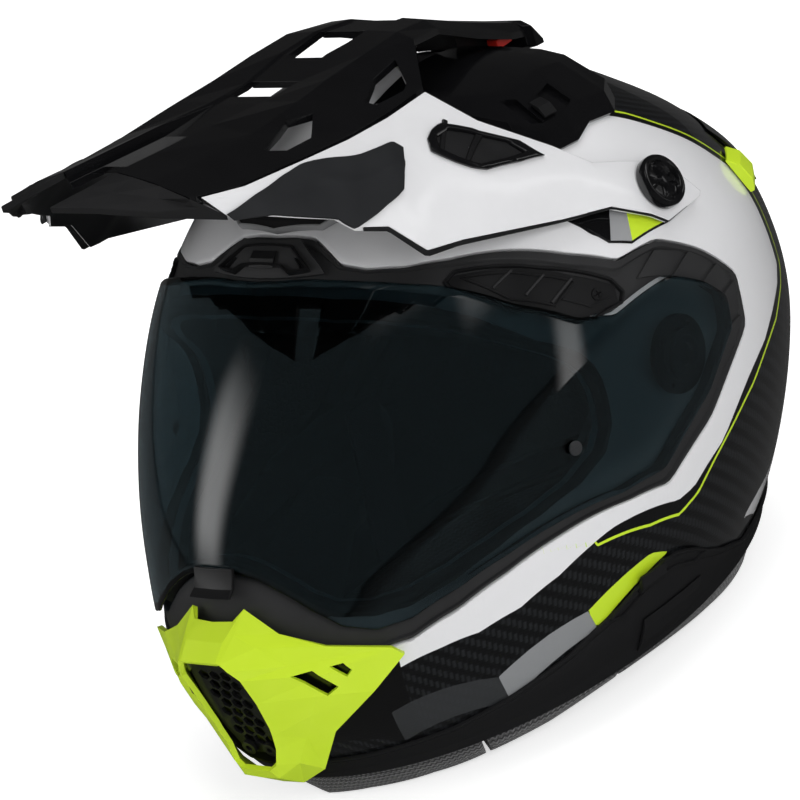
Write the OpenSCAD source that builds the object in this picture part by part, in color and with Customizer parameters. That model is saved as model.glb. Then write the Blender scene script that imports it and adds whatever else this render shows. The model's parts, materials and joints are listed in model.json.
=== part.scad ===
// Full-face enduro helmet with a long peak, a wide drop-down visor and an inner sun visor.
// It stands on its neck roll. Millimetres, Z up, the wearer looks along -Y, the wearer's left is +X.
// Angles t run round the head: 0 is the front, 90 the wearer's left, 180 the back.

/* [Shell] */
// Width of the shell across its widest section
shell_w = 250; // [238:1:262]
// Length of the shell from the chin bar to the back
shell_l = 357; // [345:1:370]
// Height of the crown above the table
shell_h = 263; // [254:1:272]
// Thickness of the laminate
shell_t = 4; // [3:0.5:4.5]
// Height of the laminate's lower edge
edge_z = 20; // [18:0.5:22]
// Depth of the step round the eyeport that takes the trim
step_d = 6; // [5.5:0.5:7]

/* [Trim and seals] */
// Running gap left between separate pieces
gap = 0.3; // [0.25:0.05:0.35]
// How far the face of the trim lies below the shell
trim_sink = 1.2; // [1:0.1:2]
// Height of the bead round the trim's outer edge
trim_bead = 1.5; // [0.8:0.1:1.5]
// Height of the swelling of the trim over the chin
chin_swell = 4; // [2:0.5:5]
// Thickness of the edge beading round the bottom
bead_t = 1.5; // [1:0.1:2]
// Height that the edge beading hangs below the laminate
bead_drop = 4; // [3:0.5:4]

/* [Visor] */
// Air between the shell's surface and the visor
visor_air = 1.6; // [1.5:0.1:2.4]
// Thickness of the visor
visor_t = 2; // [1.8:0.1:2.4]
// Distance of the visor's pivot behind the middle of the head
pivot_y = 22; // [20:1:24]
// Height of the visor's pivot
pivot_z = 135; // [133:1:137]
// Radius of the pivot pin
pivot_r = 8; // [6:0.5:9]
// Radius of the base plate under the visor
plate_r = 17; // [15:1:18]

/* [Sun visor] */
// Radius of the sun visor about its hinge
sun_r = 121; // [118:1:122]
// Reach of the sun visor's arms to each side
sun_x = 112; // [110:1:113]
// Thickness of the sun visor
sun_t = 2; // [1.6:0.2:2.2]
// Radius of the sun visor's hinge pin
sun_pin_r = 3; // [2.5:0.5:4]
// Travel of the slider that lowers the sun visor
slider_travel = 20; // [16:1:22]

/* [Chin guard] */
// Thickness of the moulded guard
guard_t = 2.4; // [2:0.2:3]
// Width across flats of a hole of the honeycomb
cell_w = 5; // [4:0.5:6]
// Width of the web between the holes
cell_web = 1.2; // [1:0.1:1.6]
// Thickness of the honeycomb plate
mesh_t = 1.6; // [1.2:0.2:2]
// Radius of the guard's bolt heads
bolt_r = 3.5; // [3:0.5:4]

/* [Peak] */
// Thickness of the moulded peak
peak_t = 3; // [2.4:0.2:3.2]
// Half the width of the channel down the middle of the peak
channel_w = 15; // [13:0.5:16]
// Depth of the channel
channel_d = 5; // [3:0.5:6]
// Radius of the side knobs
knob_r = 12; // [10:0.5:13]
// Height of the side knobs
knob_h = 5; // [4:0.5:6]

/* [Vents] */
// Thickness of the inlays under the arms' tails
inlay_t = 0.5; // [0.4:0.1:0.6]
// Thickness of the vent inserts beside the brow
insert_t = 1.2; // [1:0.1:1.4]
// Height of the crown vents above the shell
crown_h = 8; // [6:0.5:9]
// Height of the rear spoiler above the shell
spoiler_h = 3; // [2.5:0.5:5]

/* [Lining] */
// Thickness of the foam liner over the crown
liner_t = 29; // [26:1:30]
// Thickness of the foam liner low on the sides and in the chin bar
liner_low = 12; // [10:1:13]
// Thickness of the crown pad
crown_pad_t = 11; // [9:1:12]
// Thickness of the cheek pads
cheek_t = 26; // [22:1:28]
// Depth of the neck roll from the laminate towards the neck
roll_w = 24; // [20:1:26]

/* [Chin strap] */
// Width of the webbing
strap_w = 22; // [18:1:24]
// Thickness of the webbing
strap_t = 1.8; // [1.4:0.2:2]

/* [Hidden] */

// The lines were drawn for a shell of these sizes, and stretch with the three sizes above
draw_w = 250;
draw_l = 357;
draw_h = 263;
stretch = [shell_w / draw_w, shell_l / draw_l, shell_h / draw_h];
function fit(p) = [p[0] * stretch[0], p[1] * stretch[1], p[2] * stretch[2]];

// Lines of the shell: height, foremost y, rearmost y, half width, y of the widest point.
// Each section is two half ellipses, and the heights between are a smooth curve through these.
LINES = [
    [-2, -130, 122, 86, -14],
    [20, -148, 145, 100, -5],
    [45, -161, 164, 111, 4],
    [75, -166, 181, 119, 14],
    [105, -159, 191, 124, 21],
    [135, -148, 190, 125, 26],
    [165, -130, 180, 123, 27],
    [195, -106, 157, 115, 27],
    [220, -79, 128, 100, 28],
    [240, -48, 101, 79, 30],
    [254, -16, 75, 52, 32],
    [261, 12, 53, 26, 34],
    [263, 35, 35, 0, 35]];
top = len(LINES) - 1;
LEVEL = [for (i = [0 : top]) [LINES[i][0], i]];

// The row past the crown comes down the other side, and the row below the base runs straight on
function line_row(i) =
    i < 0 ? 2 * LINES[0] - LINES[1] :
    i > top ? [for (r = [LINES[2 * top - i]]) each [r[0], r[2], r[1], -r[3], r[4]]] :
    LINES[i];
function curve(a, b, c, d, f) =
    b + 0.5 * f * (c - a + f * (2 * a - 5 * b + 4 * c - d + f * (3 * (b - c) + d - a)));
function section(u) =
    let (i = min(floor(u), top - 1))
    curve(line_row(i - 1), line_row(i), line_row(i + 1), line_row(i + 2), u - i);
function point_at(t, u) =
    let (s = section(u), reach = cos(t) > 0 ? s[4] - s[1] : s[2] - s[4])
    fit([s[3] * sin(t), s[4] - reach * cos(t), s[0]]);

// A flat map of the shell: the crown is the origin and the base edge is the unit circle
function chart(t, z) =
    let (r = 1 - lookup(z, LEVEL) / top)
    [r * sin(t), -r * cos(t)];
function on_map(m) = point_at(atan2(m[0], -m[1]), top * (1 - norm(m)));
function unit(v) = v / norm(v);
map_step = 0.004;
function outward(m) =
    unit(cross(on_map(m + [map_step, 0]) - on_map(m - [map_step, 0]),
        on_map(m + [0, map_step]) - on_map(m - [0, map_step])));
function lifted(m, h) = on_map(m) + h * outward(m);
function mix(a, b, f) = a + (b - a) * f;
function on_shell(t, z, h) = lifted(chart(t, z), h);

// A point out from the section at a height by h in its own plane, or in the plane at height level
function beside(t, z, h, level) =
    let (u = lookup(z, LEVEL), p = point_at(t, u), way = point_at(t + 1, u) - point_at(t - 1, u),
        q = p + h * unit([way[1], -way[0], 0]))
    [q[0], q[1], level * stretch[2]];

// A closed solid whose section rows go round and whose columns run along or round it
module skin(rows, loop = false) {
    m = len(rows);
    c = len(rows[0]);
    last = loop ? c - 1 : c - 2;
    points = [for (r = rows) each r];
    walls = [for (i = [0 : m - 1], j = [0 : last])
        let (a = i * c + j, b = i * c + (j + 1) % c,
            d = (i + 1) % m * c + j, e = (i + 1) % m * c + (j + 1) % c)
        each 2 * i < m - 1 ? [[a, b, e], [a, e, d]] : [[a, b, d], [b, e, d]]];
    ends = loop ? [] : [for (i = [0 : m / 2 - 2], k = [0, 1])
        let (j = k * (c - 1), a = i * c + j, b = (i + 1) * c + j,
            d = (m - 1 - i) * c + j, e = (m - 2 - i) * c + j)
        each k == 0 ? [[a, b, e], [a, e, d]] : [[a, e, b], [a, d, e]]];
    faces = concat(walls, ends);
    volumes = [for (f = faces) points[f[0]] * cross(points[f[1]], points[f[2]])];
    inside_out = volumes * [for (f = faces) 1] > 0;
    polyhedron(points, inside_out ? [for (f = faces) [f[2], f[1], f[0]]] : faces);
}
function turned(rows) = [for (i = [len(rows) - 1 : -1 : 0]) rows[i]];
// Rows for a sheet between an outer and an inner grid
function sheet(outer, inner) = concat(outer, turned(inner));
// The same for rows of map points, lifted to an upper and a lower height a row
function laid(rows, high, low) = sheet(
    [for (i = [0 : len(rows) - 1]) [for (m = rows[i]) lifted(m, high[i])]],
    [for (i = [0 : len(rows) - 1]) [for (m = rows[i]) lifted(m, low[i])]]);
function mirrored_loop(half) =
    concat(half, [for (i = [len(half) - 2 : -1 : 1]) [-half[i][0], for (k = [1 : len(half[i]) - 1]) half[i][k]]]);
module both_sides() {
    children();
    mirror([1, 0, 0]) children();
}

// The loops of the eyeport, from the middle of the brow round the left side to the chin:
// t and z of the opening, t and z of the visor's edge, t and z of the trim's edge, t at the base,
// and for the ones that go round the trim's rear corner, t and z of what they bend towards
PORT = [
    [0, 208, 0, 217, 0, 230, 180],
    [7, 208, 7, 217, 7, 230, 173],
    [14, 207, 14, 217, 13, 229, 166],
    [21, 205, 21, 215.5, 22, 221, 159, 133, 166],
    [28, 203, 29, 213, 29, 218, 152, 131, 165],
    [36, 199, 38, 209, 38, 215.5, 146, 129, 166],
    [45, 192, 48, 203, 48, 213.5, 140, 127, 168],
    [53, 183, 59, 190, 60, 209.5, 134, 126, 169],
    [60, 173, 70, 174.5, 73, 198, 128, 126.5, 170],
    [65, 165, 77, 168, 82, 186, 122, 127.5, 166],
    [68, 158, 90, 169, 92, 184, 116, 128, 138],
    [70, 151, 97, 157, 101, 168, 110, 126, 130],
    [71, 144, 101, 145, 107.5, 147, 106, 121, 108],
    [71.5, 136, 100, 131, 106, 124, 99, 109, 105],
    [71.5, 127, 92, 115, 93, 101, 91],
    [70, 119, 81, 96.5, 83, 87, 83],
    [65, 112, 73, 98, 75, 91.5, 75],
    [58, 108, 62, 101, 62, 93.5, 66],
    [51, 105, 53, 98, 53, 89, 57],
    [44, 101, 45, 93, 45, 83, 48],
    [37, 98, 37, 87.5, 37, 77.5, 39],
    [30, 98, 31, 87, 31, 77, 31],
    [24, 101, 25, 92, 25, 78, 25],
    [19, 107, 19.5, 101, 19.5, 80, 19.5],
    [14, 115, 14, 110, 14, 82, 14],
    [9, 121, 9, 116, 9, 84, 9],
    [4.5, 124, 4.5, 118.5, 4.5, 84, 4.5],
    [0, 125, 0, 119, 0, 84, 0]];
function loop_of(k) = mirrored_loop([for (p = PORT) chart(p[k], p[k + 1])]);
function base_loop(z) = mirrored_loop([for (p = PORT) chart(p[6], z)]);
opening_loop = loop_of(0);
visor_loop = loop_of(2);
trim_loop = loop_of(4);
spokes = len(opening_loop);
bend_loop = mirrored_loop([for (p = PORT)
    len(p) > 7 ? chart(p[7], p[8]) : mix(chart(p[4], p[5]), chart(p[6], edge_z), 0.5)]);
function bent(a, b, c, f) = mix(mix(a, b, f), mix(b, c, f), f);
// The loop a share f of the way from the trim to the loop base, along the bent spokes
function towards(base, f) = [for (i = [0 : spokes - 1]) bent(trim_loop[i], bend_loop[i], base[i], f)];
// Each point of loop a moved towards, or with a minus away from, loop b by a distance on the map
function moved(a, b, d) = [for (i = [0 : len(a) - 1]) a[i] + d * unit(b[i] - a[i])];
function between(a, b, f) = [for (i = [0 : len(a) - 1]) mix(a[i], b[i], f)];
// One millimetre on the shell is about this much of the map
mm = 1 / 360;

// Laminated shell, stepped down round the eyeport
shell_rows = 18;
module outer_shell() {
    base = base_loop(edge_z);
    rows = concat(
        [for (f = [0, 1 / 3, 2 / 3]) between(opening_loop, visor_loop, f)],
        [visor_loop, moved(trim_loop, visor_loop, 0.1 * mm)],
        [moved(trim_loop, bend_loop, 0.6 * mm)],
        [for (i = [1 : shell_rows]) towards(base, pow(i / shell_rows, 1.15))]);
    high = [for (i = [0 : len(rows) - 1]) i < 5 ? -step_d : 0];
    low = [for (h = high) h - shell_t];
    color("gainsboro") skin(laid(rows, high, low), loop = true);
}

// Rubber beading round the laminate's lower edge, rising to the sun visor's slider on each side
BEAD_TOP = [[0, 28], [20, 28], [40, 30], [52, 34], [64, 40], [75, 50], [82, 57], [88, 52], [99, 38],
    [111, 27], [180, 27]];
bead_out = gap + bead_t;
module base_trim() {
    base = base_loop(edge_z);
    turns = mirrored_loop([for (p = PORT) [p[6]]]);
    n = spokes - 1;
    foot = edge_z - bead_drop;
    // How far up its spoke the beading reaches on the map
    rise = [for (i = [0 : n])
        let (r = norm(chart(0, lookup(abs(turns[i][0]), BEAD_TOP))), out = unit(base[i]))
        (norm(base[i]) - r) / (2 * (base[i] - bend_loop[i]) * out)];
    function face(f, h) = [for (i = [0 : n])
        lifted(bent(base[i], bend_loop[i], trim_loop[i], f * rise[i]), h)];
    function ring(h, level) = [for (i = [0 : n]) beside(turns[i][0], edge_z, h, level)];
    color("dimgray") skin([
        face(1, gap), face(1, bead_out), face(0.5, bead_out), face(0, bead_out),
        ring(bead_out - 1, foot), ring(-shell_t - gap, foot), ring(-shell_t - gap, edge_z - gap),
        ring(gap, edge_z - gap), face(1 / 3, gap), face(2 / 3, gap)], loop = true);
}

// Moulded trim in the step, with a bead at its outer edge and a swelling over the chin
trim_seat = -step_d + 1.8 * gap;
swell_half = 5;
function chin_share(i) =
    let (k = min(abs(i - (spokes / 2)), swell_half)) pow(cos(90 * k / swell_half), 2);
module eyeport_trim() {
    inner_edge = moved(visor_loop, trim_loop, 0.8 * mm);
    outer_edge = moved(trim_loop, visor_loop, 0.9 * mm);
    share = [0, 0.2, 0.5, 0.8, 0.86, 1];
    rise = [0, 0, 0, 0, trim_bead, trim_bead - 0.3];
    swell = [0, 1, 0.8, 0, 0, 0];
    rows = [for (f = share) between(inner_edge, outer_edge, f)];
    outer = [for (r = [0 : len(rows) - 1])
        [for (i = [0 : spokes - 1])
            lifted(rows[r][i], -trim_sink + rise[r] + chin_swell * swell[r] * chin_share(i))]];
    inner = [for (f = [0, 1]) [for (i = [0 : spokes - 1])
        lifted(mix(inner_edge[i], outer_edge[i], f), trim_seat)]];
    color("#3a3a3b") skin(concat(outer, turned(inner)), loop = true);
}

// Rubber seal between the opening and the trim
gasket_lip = 1.4;
gasket_w = 7;
module eyeport_gasket() {
    function across(f) = [for (i = [0 : spokes - 1])
        let (way = visor_loop[i] - opening_loop[i], reach = min(gasket_w * mm, 0.9 * norm(way)))
        opening_loop[i] + f * reach * unit(way)];
    rows = [for (f = [0, 0.25, 0.55, 1]) across(f)];
    high = [-trim_sink - 1.5, -trim_sink + gasket_lip, -trim_sink + gasket_lip, -trim_sink - 2];
    outer = [for (r = [0 : 3]) [for (m = rows[r]) lifted(m, high[r])]];
    inner = [for (r = [0, 3]) [for (m = rows[r]) lifted(m, trim_seat)]];
    color("black") skin(concat(outer, turned(inner)), loop = true);
}

// Curved visor, a sheet between its upper and lower edges
visor_half = [for (p = PORT) chart(p[2], p[3])];
visor_last = len(PORT) / 2 - 1;
visor_rows = 8;
function visor_column(i) =
    let (k = abs(i), a = visor_half[k], b = visor_half[len(PORT) - 1 - k])
    [for (j = [0 : visor_rows]) let (m = mix(a, b, j / visor_rows)) i < 0 ? [-m[0], m[1]] : m];
module visor() {
    columns = [for (i = [-visor_last : visor_last]) visor_column(i)];
    rows = [for (j = [0 : visor_rows]) [for (c = columns) c[j]]];
    high = [for (j = [0 : visor_rows]) visor_air + visor_t];
    low = [for (j = [0 : visor_rows]) visor_air];
    color("#33474d", 0.6) skin(laid(rows, high, low));
}

// Side of the shell at the visor's pivot, and the levels of what is stacked there
side_x = point_at(90, lookup(pivot_z, LEVEL))[0];
hub_top = side_x + visor_air - 1.2;
hub_wall = 3.5;
hub_h = 3;
pin_play = 0.05;
module at_pivot(x) {
    translate([x, pivot_y * stretch[1], pivot_z * stretch[2]]) rotate([0, 90, 0]) children();
}
module visor_hubs() {
    color("#20282a") both_sides() at_pivot(hub_top - hub_h) difference() {
        cylinder(r = pivot_r + hub_wall, h = hub_h, $fn = 48);
        translate([0, 0, -1]) cylinder(r = pivot_r + pin_play, h = hub_h + 2, $fn = 48);
    }
}

// Thumb tab at the visor's lower edge, curling outwards
module visor_tab() {
    half = 4.8;
    seat = visor_air + visor_t + gap;
    rows = [for (z = [121, 117.5, 113, 109.5]) [for (t = [-half : half / 2 : half]) chart(t, z)]];
    rise = [0, 0, 0.8, 4];
    color("#20282a") skin(laid(rows, [for (r = rise) seat + r + 1.8], [for (r = rise) seat + r]));
}

// Lens pins set in the visor
lens_pin_r = 3.2;
lens_pin = [65, 127.5];
module visor_pins() {
    m = chart(lens_pin[0], lens_pin[1]);
    n = outward(m);
    color("silver") both_sides()
        translate(lifted(m, visor_air + visor_t + gap)) rotate([0, acos(n[2]), atan2(n[1], n[0])])
            cylinder(r = lens_pin_r, h = 1, $fn = 32);
}

// Base plate of the visor's pivot, lying in the step, with its pin
module base_plate() {
    floor_x = side_x - step_d + gap;
    plate_top = hub_top - hub_h - gap;
    at_pivot(floor_x) difference() {
        union() {
            cylinder(r = plate_r, h = plate_top - floor_x, $fn = 64);
            cylinder(r = pivot_r, h = hub_top - floor_x, $fn = 48);
        }
        translate([0, 0, plate_top - floor_x + 1]) cylinder(r = pivot_r - 3, h = 10, $fn = 32);
        for (a = [45 : 90 : 315]) rotate(a) translate([plate_r - 3, 0, -1])
            cylinder(r = 1.2, h = 10, $fn = 24);
    }
}
module base_plate_left() { color("#555a5c") base_plate(); }
module base_plate_right() { color("#555a5c") mirror([1, 0, 0]) base_plate(); }

// The sun visor is part of a barrel turned about its hinge, whose section is a superellipse
sun_hinge = fit([0, 37, 135]);
sun_reach = sun_r * min(stretch[1], stretch[2]);
sun_side = sun_x * stretch[0];
barrel_n = 2.4;
function barrel(lat, turn, grow) =
    let (r = (sun_reach + grow) * pow(cos(lat), 2 / barrel_n), s = sin(lat))
    [sign(s) * (sun_side + grow) * pow(abs(s), 2 / barrel_n), sun_hinge[1] - r * cos(turn), sun_hinge[2] + r * sin(turn)];
SUN_LOW = [[0, 37.5], [8, 34], [30, 32.5], [55, 33], [65, 30], [75, 22], [86, 8]];
SUN_HIGH = [[0, 76], [20, 73], [35, 66], [50, 54], [65, 48], [86, 60]];
sun_lat = 86;
sun_steps = 26;
sun_boss_r = 15;
module sun_visor() {
    lats = [for (i = [0 : sun_steps]) sun_lat * (2 * i / sun_steps - 1)];
    rows = [for (j = [0 : 6]) [for (a = lats) mix(lookup(abs(a), SUN_LOW), lookup(abs(a), SUN_HIGH), j / 6)]];
    outer = [for (r = rows) [for (i = [0 : sun_steps]) barrel(lats[i], r[i], 0)]];
    inner = [for (r = rows) [for (i = [0 : sun_steps]) barrel(lats[i], r[i], -sun_t)]];
    color("#2b2b2e", 0.7) difference() {
        union() {
            skin(sheet(outer, inner));
            both_sides() translate([sun_side - sun_t - 0.6, sun_hinge[1], sun_hinge[2]]) rotate([0, 90, 0])
                cylinder(r = sun_boss_r, h = sun_t + 0.4, $fn = 48);
        }
        translate([-sun_side - 10, sun_hinge[1], sun_hinge[2]]) rotate([0, 90, 0])
            cylinder(r = sun_pin_r + pin_play, h = 2 * sun_side + 20, $fn = 32);
    }
}
sun_wall_x = point_at(90, lookup(sun_hinge[2] / stretch[2], LEVEL))[0] - shell_t - step_d - 1.6;
module sun_visor_pins() {
    color("silver") both_sides() translate([0, sun_hinge[1], sun_hinge[2]]) rotate([0, 90, 0]) {
        translate([0, 0, sun_side - sun_t - 1])
            cylinder(r = sun_pin_r, h = sun_wall_x - sun_side + sun_t + 1, $fn = 32);
        translate([0, 0, sun_side + 0.2]) cylinder(r = 7, h = sun_wall_x - sun_side - 0.2, $fn = 32);
    }
}

// Slider on the left of the lower edge that works the sun visor
slider_from = on_shell(79, 54, bead_out + gap);
slider_way = unit(on_shell(88, 50, bead_out + gap) - slider_from);
module sun_visor_slider() {
    rows = [for (z = [50, 53, 57]) [for (t = [76.5, 78, 80, 81.5]) chart(t, z)]];
    color("black") skin(laid(rows, [for (h = [1.6, 3, 1.6]) bead_out + gap + h],
        [for (i = [0 : 2]) bead_out + gap]));
}

// Chin guard from the air inlet's edge over a crease to the edge that lies on the shell, from the
// middle of the roof round the left side to the middle of the floor: two points and then, for the
// edge, t, z and the height above the shell
GUARD = [
    [[0, -183.5, 91.5], [0, -176, 97.5], [0, 100, 8]],
    [[10, -183.5, 91.5], [10.5, -176, 97.5], [4.7, 100.5, 8]],
    [[12, -183, 91], [14, -172, 99], [6.5, 105, 5]],
    [[14, -182, 87], [22, -170, 92.5], [13.2, 94, 4.4]],
    [[17, -179.5, 81.5], [33, -165.5, 82], [21.8, 86, 3.8]],
    [[17, -175, 68], [44, -159, 75], [33, 79, 4.2]],
    [[16, -171.5, 54], [40, -161.5, 66], [35, 74.5, 4.2]],
    [[15.5, -171, 50], [34, -163, 57], [28.6, 62.5, 4.2]],
    [[14, -170, 43], [27, -163, 46], [18.8, 47, 4]],
    [[12, -171, 35.5], [20, -165, 34], [12.6, 31, 7.5]],
    [[8, -172, 33], [10, -170, 28.5], [5.6, 25, 9.5]],
    [[0, -172, 33], [0, -170, 28], [0, 25, 9.5]]];
guard_half = [for (k = [0 : 2]) [for (g = GUARD) k < 2 ? fit(g[k]) : on_shell(g[2][0], g[2][1], g[2][2])]];
guard_loop = [for (h = guard_half) mirrored_loop(h)];
// The grid normal of a closed loop of columns
function loop_normal(rows, i, j) =
    let (c = len(rows[0]), a = rows[max(i - 1, 0)][j], b = rows[min(i + 1, len(rows) - 1)][j],
        d = rows[i][(j + c - 1) % c], e = rows[i][(j + 1) % c])
    unit(cross(b - a, e - d));
// Slots through the guard's wing, in a plane that faces out and forward
SLOTS_AT = [42, -160, 73];
slots_turn = 38.5;
GUARD_SLOTS = [[[-11, 4.8], [-1.5, 4.8], [7.1, -5.3], [1.5, -8]], [[5.9, 4.7], [12, 4.8], [14.6, 0.7], [11.7, -1.8]]];
module chin_guard() {
    facing = sign(loop_normal(guard_loop, 1, 0)[1]);
    rows = guard_loop;
    inner = [for (i = [0 : 2]) [for (j = [0 : len(rows[0]) - 1])
        rows[i][j] + guard_t * facing * loop_normal(rows, i, j)]];
    color("#c8e62a") difference() {
        skin(sheet(rows, inner), loop = true);
        both_sides() translate(fit(SLOTS_AT)) rotate([90, 0, slots_turn]) translate([0, 0, -14]) linear_extrude(24)
            for (q = GUARD_SLOTS) polygon(q);
    }
}

// Honeycomb plate behind the inlet
mesh_lean = 15;
mesh_at = fit([0, -168.2, 60]);
pitch = cell_w + cell_web;
MESH_EDGE = [[10.5, -24], [14.8, -9], [16.3, 7], [14.5, 22], [10, 31]];
module chin_mesh() {
    color("#2c2c2e") translate(mesh_at) rotate([90 + mesh_lean, 0, 0]) linear_extrude(mesh_t) difference() {
        polygon(concat(MESH_EDGE, [for (q = turned(MESH_EDGE)) [-q[0], q[1]]]));
        for (i = [-1 : 1], j = [-3 : 4])
            translate([(i + (abs(j) % 2) * 0.5 - 0.25) * pitch, j * pitch * sin(60)])
                rotate(30) circle(d = cell_w / cos(30), $fn = 6);
    }
}
module chin_bolts() {
    color("silver") translate(mesh_at) rotate([90 + mesh_lean, 0, 0])
        for (x = [-6, 6]) translate([x, -20, mesh_t + 0.1]) difference() {
            cylinder(r = bolt_r, h = 2, $fn = 32);
            translate([0, 0, 0.8]) cylinder(r = 1.6, h = 2, $fn = 6);
        }
}

// Slider of the chin vent, inside the chin bar
liner_play = 2.8;
function liner_depth(z) = lookup(z, [[110, shell_t + liner_low], [150, shell_t + liner_t]]);
module chin_vent_slider() {
    seat = -liner_depth(60) - liner_play;
    rows = [for (z = [66, 70, 74]) [for (t = [-6, -3, 0, 3, 6]) chart(t, z)]];
    color("black") skin(laid(rows, [for (i = [0 : 2]) seat], [seat - 2, seat - 5, seat - 2]));
}

// Brow vent: a low hood on the trim between the visor and the shell
vent_seat = -trim_sink + gap;
brow_seat = trim_bead - trim_sink + gap;
BROW = [[18.5, 218.6, vent_seat, 0.5], [17.5, 220.5, vent_seat, 1.4], [13, 225, brow_seat, 2.8],
    [10, 228, brow_seat, 3.2]];
module brow_vent() {
    rows = [for (b = BROW) [for (f = [-1 : 0.25 : 1]) chart(b[0] * f, b[1])]];
    color("#2a2a2b") skin(laid(rows, [for (b = BROW) b[3]], [for (b = BROW) b[2]]));
}
module brow_vent_slider() {
    rows = [for (z = [221, 223, 225]) [for (t = [-4 : 2 : 4]) chart(t, z)]];
    color("black") skin(laid(rows, [2.6, 3.8, 3.6], [2.2, 2.8, 3.2]));
}
// Scoop above the hood, under the peak
module brow_scoop() {
    half = [15, 19, 19, 14];
    heights = [231.5, 233, 238, 241];
    rows = [for (i = [0 : 3]) [for (f = [-1 : 0.25 : 1]) chart(half[i] * f, heights[i])]];
    color("#8a8a88") skin(laid(rows, [2.4, 3, 2.4, 1.6], [for (i = [0 : 3]) gap]));
}

// Vent insert beside the brow, flush in the trim
module side_vent() {
    upper = [[47, 210], [53, 209], [60, 205], [67, 198], [74, 191], [80, 180]];
    lower = [[48, 205.2], [53, 199.5], [60, 191.5], [67, 182], [72, 175.5], [78, 171]];
    rows = [for (f = [0, 0.5, 1]) [for (i = [0 : 5])
        mix(chart(upper[i][0], upper[i][1]), chart(lower[i][0], lower[i][1]), f)]];
    skin(laid(rows, [for (i = [0 : 2]) vent_seat + 0.1 + insert_t], [for (i = [0 : 2]) vent_seat + 0.1]));
}
module side_vent_left() { color("#1e1e1f") side_vent(); }
module side_vent_right() { color("#1e1e1f") mirror([1, 0, 0]) side_vent(); }

// Peak: y, then x and z at the channel's edge, at the ridge and at the outer edge
PEAK = [
    [-152, 15, 302.5, 33, 298, 51.5, 291],
    [-130, 15, 300, 34, 295, 58, 286],
    [-94, 15, 296, 36, 292, 62, 282],
    [-62, 15, 292, 35, 292, 63, 278.5],
    [-40, 15, 290.5, 33, 292, 62, 277],
    [-14, 15, 293, 33, 292, 59, 276],
    [9, 15, 292.5, 32, 291.5, 40, 288],
    [32, 15, 288, 27, 287, 33, 283],
    [58, 15, 275, 24, 274, 30, 269],
    [82, 15, 264, 21, 263, 26, 258],
    [94, 15, 258.5, 19, 258, 23, 254]];
function peak_row(p) =
    let (c = channel_w, y = p[0], drop = dip(y))
    [for (q = [[-p[5], p[6]], [-p[3], p[4]], [-c, p[2]], [-c + 1, p[2] - drop], [c - 1, p[2] - drop],
        [c, p[2]], [p[3], p[4]], [p[5], p[6]]]) fit([q[0], y, q[1]])];
// Holes through the left half of the peak, seen from above: the mouth between the beaks, the two
// openings in the channel, and the two slots in the outer slope
PEAK_HOLES = [
    [[-1, -160], [channel_w - 1.5, -160], [channel_w - 1.5, -132], [-1, -132]],
    [[-1, -53], [channel_w - 0.5, -53], [channel_w - 0.5, -37], [-1, -37]],
    [[-1, -17], [10.5, -17], [channel_w - 0.5, 12], [-1, 12]],
    [[47, -102], [40, -77], [44, -65], [54, -80], [54, -95]],
    [[44, -25], [42.5, -8], [53.5, -17], [56, -22], [56, -40], [52, -42]]];
module peak() {
    rows = [for (p = PEAK) peak_row(p)];
    under = [for (r = rows) [for (p = r) p - [0, 0, peak_t]]];
    color("#101011") difference() {
        skin(sheet(rows, under));
        both_sides() for (q = PEAK_HOLES) translate([0, 0, 250 * stretch[2]]) linear_extrude(60)
            polygon([for (p = q) [p[0] * stretch[0], p[1] * stretch[1]]]);
    }
}

// Matt lips along the front of the peak, one each side of the mouth: front edge and rear edge
LIP_FRONT = [[14, -191, 305.5], [26, -178, 299], [42, -163, 290], [60, -143, 279.5]];
LIP_REAR = [[15, -152.4, 302.5], [26, -152.4, 299.9], [38, -152.4, 296.4], [51.5, -152.4, 291]];
lip_t = 3;
module peak_lips() {
    rows = [for (f = [0, 0.5, 1]) [for (i = [0 : 3]) fit(mix(LIP_FRONT[i], LIP_REAR[i], f))]];
    color("#2b2b2c") both_sides() skin(sheet(rows, [for (r = rows) [for (p = r) p - [0, 0, lip_t]]]));
}

// Arm of the peak: its upper edge against the peak and its lower edge, from the lip to the tail
ARM_TOP = [[54.5, -149, 290], [59.5, -129, 285.5], [63.5, -94, 281.5], [64.5, -70, 278.5], [64.5, -45, 276.5],
    [61.5, -16, 275], [78, -8, 258], [94, 14, 236], [105, 23, 224], [110, 46, 214], [114, 61, 203], [117, 70, 188.5]];
ARM_LOW = [[60.5, -143, 278], [70, -130, 274], [84, -109, 263], [90, -105, 256], [93, -91, 249.5],
    [99, -80, 233.5], [103, -65, 230.5], [109, -12, 214], [117, 14, 208], [121, 32, 196], [122, 40, 189],
    [117.5, 68, 187]];
ARM_SWELL = [0, 1, 2, 3, 4, 4, 4, 3, 2, 1.5, 1, 0];
arm_last = len(ARM_TOP) - 1;
function along(list, a) =
    let (i = min(floor(a), len(list) - 2)) mix(list[i], list[i + 1], a - i);
function arm_flat(a, f) = fit(mix(along(ARM_TOP, a), along(ARM_LOW, a), f));
function arm_facing(a, f) =
    unit(cross(arm_flat(min(a + 0.1, arm_last), f) - arm_flat(max(a - 0.1, 0), f),
        arm_flat(a, 0) - arm_flat(a, 1)));
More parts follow.
